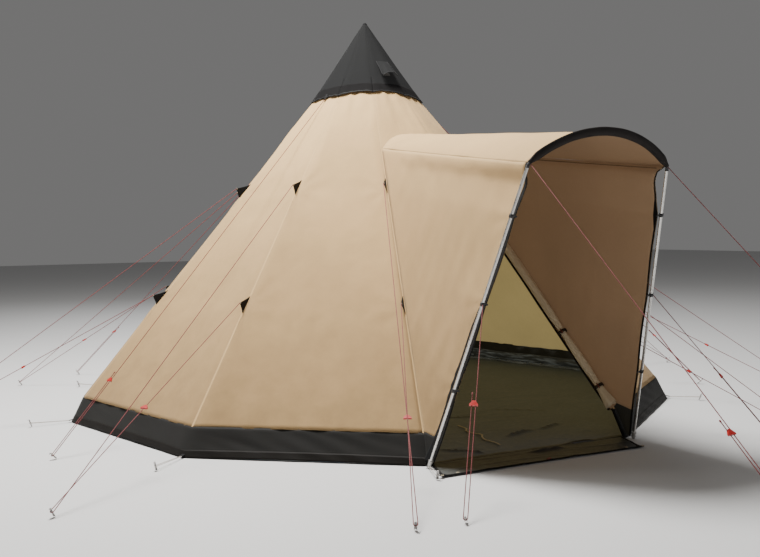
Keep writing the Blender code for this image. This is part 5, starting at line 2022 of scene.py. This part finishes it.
class Paint:
    """A material, with short ways to add nodes to it."""

    def __init__(self, name):
        self.material = bpy.data.materials.new(name)
        self.material.use_nodes = True
        self.tree = self.material.node_tree

    def put(self, socket, value):
        """Sets a socket's value, or links it to an output."""
        if isinstance(value, bpy.types.NodeSocket):
            self.tree.links.new(value, socket)
        else:
            socket.default_value = value

    def node(self, kind, inputs=None, **settings):
        """The outputs of a new node with these inputs and settings."""
        made = self.tree.nodes.new("ShaderNode" + kind)
        for key, value in settings.items():
            setattr(made, key, value)
        for socket, value in (inputs or {}).items():
            self.put(made.inputs[socket], value)
        return made.outputs

    def place(self):
        """The place on the object, in metres."""
        return self.node("TexCoord")["Object"]

    def flat(self):
        """The place on the flat cloth, in metres."""
        return self.node("UVMap", uv_map="cloth")["UV"]

    def seam(self):
        """The distance to the seam."""
        return self.node("Attribute", attribute_name="seam")["Fac"]

    def maths(self, operation, first, second=0.0):
        return self.node("Math", {0: first, 1: second}, operation=operation)[0]

    def times(self, first, second):
        return self.maths("MULTIPLY", first, second)

    def total(self, *parts):
        """The sum of values, each times its weight."""
        whole = None
        for value, weight in parts:
            part = self.times(value, weight)
            whole = part if whole is None else self.maths("ADD", whole, part)
        return whole

    def mix(self, share, first, second):
        return self.node("Mix", {0: share, 6: first, 7: second}, data_type="RGBA")[2]

    def shade(self, share, colour, low, high):
        """A colour between a darker and a lighter form of it."""
        return self.mix(share, tinted(colour, low), tinted(colour, high))

    def noise(self, vector, scale, detail=2.0, rough=0.5):
        inputs = {"Vector": vector, "Scale": scale, "Detail": detail, "Roughness": rough}
        return self.node("TexNoise", inputs)["Fac"]

    def mapped(self, vector, **inputs):
        return self.node("Mapping", {"Vector": vector, **inputs})[0]

    def ramp(self, value, low=0.0, high=1.0, to_low=0.0, to_high=1.0):
        """A value moved from one range to another."""
        inputs = {"Value": value, "From Min": low, "From Max": high}
        inputs.update({"To Min": to_low, "To Max": to_high})
        return self.node("MapRange", inputs)[0]

    def weave(self, vector, pitch):
        """The height of a plain weave whose threads lie a pitch apart."""
        inputs = {"Vector": vector, "Scale": math.pi / (10 * pitch), "Distortion": 0.6,
                  "Detail": 1.0, "Detail Scale": 2.0}
        return self.times(self.bands(inputs, "X"), self.bands(inputs, "Y"))

    def bands(self, inputs, direction):
        """Straight waves across a direction."""
        return self.node("TexWave", inputs, wave_type="BANDS", bands_direction=direction)["Fac"]

    def finish(self, base, height, distance, strength, **sockets):
        """Sets the shader's colour, bump and other sockets, and gives the material."""
        bump = self.node("Bump", {"Height": height, "Distance": distance, "Strength": strength})[0]
        shader = self.tree.nodes["Principled BSDF"]
        self.put(shader.inputs["Base Color"], base)
        self.put(shader.inputs["Normal"], bump)
        for name, value in sockets.items():
            self.put(shader.inputs[name.replace("_", " ")], value)
        return self.material


def tinted(colour, share):
    """A colour, lighter or darker by a share, with its alpha."""
    return (*[min(1.0, part * share) for part in colour], 1.0)


def cloth_material(name, colour, roughness, pitch=0.0016, depth=0.0004, mottle=0.08, sheen=0.25,
                   glow=None, glow_strength=0.0, thread=None, dirt_and_shade=0.0, shine=0.25):
    """Woven cloth with slubs, soft mottling, stitched seams, and darkening towards the ground that
    is painted shade on the canvas and a little dirt on the skirt.
    """
    paint = Paint(name)
    place, flat = paint.place(), paint.flat()
    broad = paint.noise(place, 1.7, 4.0, 0.55)
    fine = paint.noise(place, 46.0, 3.0, 0.6)
    slubs = paint.noise(paint.mapped(flat, Scale=(900.0, 40.0, 1.0)), 1.0, 2.0, 0.6)
    weave = paint.weave(flat, pitch)
    tone = paint.ramp(paint.total((broad, 0.62), (fine, 0.22), (slubs, 0.16)), 0.32, 0.68)
    base = paint.shade(tone, colour, 1 - mottle, 1 + mottle)
    base = paint.mix(paint.times(weave, 0.22), base, tinted(colour, 1 - 2.2 * mottle))
    # Darker towards the ground in soft patches: painted shade on the canvas, a little dirt on the
    # skirt.
    if dirt_and_shade:
        height = paint.node("SeparateXYZ", {0: place})["Z"]
        patches = paint.times(paint.noise(place, 7.0, 5.0, 0.65), 0.3)
        low = paint.ramp(height, dirt_and_shade_height, 0.0)
        patchy = paint.times(low, paint.maths("ADD", patches, 0.35))
        base = paint.mix(paint.times(patchy, dirt_and_shade), base, (*dirt_and_shade_colour, 1.0))
    height = paint.total((weave, 0.7), (slubs, 0.3))
    if thread:
        seam = paint.seam()
        run = paint.maths("DIVIDE", paint.node("SeparateXYZ", {0: flat})["Y"], stitch_pitch)
        dash = paint.maths("LESS_THAN", paint.maths("FRACT", run), stitch_share)
        lines = []
        for offset in stitch_offsets:
            gap = paint.maths("ABSOLUTE", paint.maths("SUBTRACT", seam, offset))
            lines.append(paint.maths("LESS_THAN", gap, stitch_half_width))
        stitch = paint.times(paint.maths("MAXIMUM", *lines), dash)
        base = paint.mix(stitch, base, (*thread, 1.0))
        height = paint.maths("ADD", height, paint.times(stitch, 1.2))
    rough = paint.ramp(fine, 0.0, 1.0, max(0.0, roughness - 0.06), min(1.0, roughness + 0.06))
    sockets = {"Roughness": rough, "Sheen_Weight": sheen, "Sheen_Roughness": 0.5,
               "Specular_IOR_Level": shine}
    if glow:
        sockets["Emission_Color"] = paint.shade(tone, glow, 1 - mottle, 1 + mottle)
        sockets["Emission_Strength"] = glow_strength
    return paint.finish(base, height, depth, 0.7, **sockets)


def coated_material(name, colour, roughness, depth=0.0006, mottle=0.12, scale=30.0, glow=None,
                    fold_shade_painted=False):
    """Coated sheet, slightly glossy, with fine creasing and scuffs; painted shade in its folds
    where asked, and painted highlight streaks of emission where it glows.
    """
    paint = Paint(name)
    place = paint.place()
    broad = paint.noise(place, 2.4, 5.0, 0.6)
    fine = paint.noise(place, scale, 6.0, 0.65)
    cells = paint.node("TexVoronoi", {"Vector": place, "Scale": scale * 0.5},
                       feature="DISTANCE_TO_EDGE")["Distance"]
    grid = paint.weave(paint.flat(), 0.004)
    tone = paint.ramp(paint.total((broad, 0.7), (fine, 0.3)), 0.35, 0.65)
    base = paint.shade(tone, colour, 1 - mottle, 1 + mottle)
    dust = paint.times(paint.maths("GREATER_THAN", fine, 0.62), 0.12)
    base = paint.mix(dust, base, tinted(colour, 1.9))
    # Painted shade along the floor's folds, carried in the seam value.
    if fold_shade_painted:
        base = paint.mix(paint.maths("SUBTRACT", 1.0, paint.seam()), base, tinted(colour, 0.12))
    crinkle = paint.maths("MINIMUM", paint.times(cells, 6.0), 1.0)
    height = paint.total((crinkle, 0.5), (grid, 0.06), (fine, 0.6))
    sockets = {"Roughness": paint.ramp(fine, 0.3, 0.7, roughness - 0.08, roughness + 0.1)}
    if glow:
        # Painted highlights: emission in soft streaks stands in for glossy reflections.
        spread = paint.mapped(paint.flat(), Scale=(4.5, 26.0, 1.0), Rotation=(0.0, 0.0, 0.16))
        streaks = paint.noise(spread, 1.0, 4.0, 0.6)
        sockets["Emission_Color"] = (*glow, 1.0)
        sockets["Emission_Strength"] = paint.ramp(streaks, 0.48, 0.68, 0.6, 4.2)
    return paint.finish(base, height, depth, 0.6, **sockets)


def metal_material(name, colour, roughness, metallic=1.0, streak=260.0):
    """Drawn or pressed steel with fine streaks, dull spots and small scratches."""
    paint = Paint(name)
    place = paint.place()
    lines = paint.noise(paint.mapped(place, Scale=(1.0, 1.0, 0.04)), streak, 3.0, 0.6)
    spots = paint.noise(place, 34.0, 5.0, 0.6)
    worn = paint.times(paint.maths("GREATER_THAN", spots, 0.63), 0.35)
    base = paint.mix(worn, paint.shade(lines, colour, 0.86, 1.1), tinted(colour, 0.62))
    rough = paint.ramp(spots, 0.3, 0.7, roughness - 0.08, roughness + 0.14)
    return paint.finish(base, lines, 0.0002, 0.35, Roughness=rough, Metallic=metallic)


def plastic_material(name, colour, roughness, grain=900.0, depth=0.00012):
    """Moulded plastic with a fine grain, soft wear and a little dust."""
    paint = Paint(name)
    place = paint.place()
    fine = paint.noise(place, grain, 2.0, 0.5)
    broad = paint.noise(place, 26.0, 4.0, 0.6)
    rough = paint.ramp(broad, 0.3, 0.7, roughness - 0.07, roughness + 0.1)
    return paint.finish(paint.shade(broad, colour, 0.82, 1.2), fine, depth, 0.5, Roughness=rough)


def braid_material(name, colour, fleck, roughness=0.7):
    """Braided cord: slanting strands with flecks of a second colour."""
    paint = Paint(name)
    place = paint.place()
    strands = []
    for turn in (0.7, -0.7):
        turned = paint.mapped(place, Rotation=(turn, turn, 0.0))
        inputs = {"Vector": turned, "Scale": 150.0, "Distortion": 0.8}
        strands.append(paint.bands(inputs, "DIAGONAL"))
    braid = paint.maths("MAXIMUM", *strands)
    flecks = paint.maths("GREATER_THAN", paint.noise(place, 160.0, 2.0, 0.5), 0.60)
    base = paint.shade(braid, colour, 0.66, 1.1)
    base = paint.mix(paint.times(flecks, 0.45), base, (*fleck, 1.0))
    return paint.finish(base, braid, 0.0006, 0.7, Roughness=roughness, Sheen_Weight=0.2)


def make_materials():
    """Every material by name."""
    made = {name: cloth_material(name, **look) for name, look in cloth_looks.items()}
    for maker, table in ((coated_material, coated_looks), (metal_material, metal_looks),
                         (plastic_material, plastic_looks), (braid_material, braid_looks)):
        made.update({name: maker(name, **look) for name, look in table.items()})
    return made


# Solids that stay, with their finishes


def finish_solids():
    """Gives the rigid solids their materials."""
    finishes = {
        "centre_pole_lower": ("pole_steel", "pole_steel"),
        "centre_pole_upper": ("pole_steel", "pole_steel"),
        "centre_pole_foot": ("black_plastic", "pole_plastic"),
        "centre_pole_collar": ("black_plastic", "pole_plastic"),
        "centre_pole_tip": ("black_plastic", "pole_plastic"),
        "porch_arch_pole": ("porch_steel", "porch_steel"),
    }
    for side in (-1, 1):
        finishes["porch_leg" + side_name(side)] = ("porch_steel", "porch_steel")
        finishes["porch_elbow" + side_name(side)] = ("black_plastic", "black_plastic")
        finishes["porch_boot" + side_name(side)] = ("boot_steel", "black_plastic")
    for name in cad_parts:
        if name.startswith("guy_runner_"):
            finishes[name] = ("runner_plastic", "runner_plastic")
    for name, (material, slot) in finishes.items():
        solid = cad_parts[name]
        solid.data.materials.clear()
        solid.data.materials.append(looks[material])


# Floor, light and world


def make_stage():
    """A plain pale floor with soft studio light."""
    paint = Paint("studio_floor")
    shader = paint.tree.nodes["Principled BSDF"]
    shader.inputs["Base Color"].default_value = (*floor_colour, 1.0)
    shader.inputs["Roughness"].default_value = floor_roughness
    work = bmesh.new()
    far = floor_half_width
    corners = [(-far, -far), (far, -far), (far, far), (-far, far)]
    work.faces.new([work.verts.new((*corner, -floor_drop)) for corner in corners])
    mesh = finished(work, "studio_floor")
    mesh.materials.append(paint.material)
    linked("studio_floor", mesh)
    for name, bearing, distance, height, size, power, colour in light_table:
        data = bpy.data.lights.new(name, "AREA")
        data.shape = "DISK"
        data.size = size
        data.energy = power
        data.color = colour
        lamp = linked(name, data)
        lamp.location = around(distance, bearing, height)
        aim = Vector((0, 0, light_aim_height)) - lamp.location
        lamp.rotation_euler = aim.to_track_quat("-Z", "Y").to_euler()
    world = bpy.data.worlds.new("studio")
    world.use_nodes = True
    background = world.node_tree.nodes["Background"]
    background.inputs["Color"].default_value = (*sky_colour, 1.0)
    background.inputs["Strength"].default_value = sky_strength
    bpy.context.scene.world = world


def make_pieces():
    """Every piece."""
    make_guys()
    make_corner_loops()
    tent = make_canvas()
    ridge_seams = make_ridge_seams()
    fins = make_patches()
    make_storm_tabs()
    make_door_zips()
    skirt, skirt_edge = make_skirt()
    cap, cap_trim = make_cap()
    make_vent_opening()
    make_vent()
    floor, upstand = make_groundsheet()
    make_lip_trim()
    make_roof()
    for side in (-1, 1):
        wall, foot = make_wall(side)
        hems = make_wall_hem(side)
        make_clips(side)
    make_eave_seams()
    make_sleeve()
    make_roll()


make_camera()
looks = make_materials()
make_pieces()
finish_solids()
make_stage()
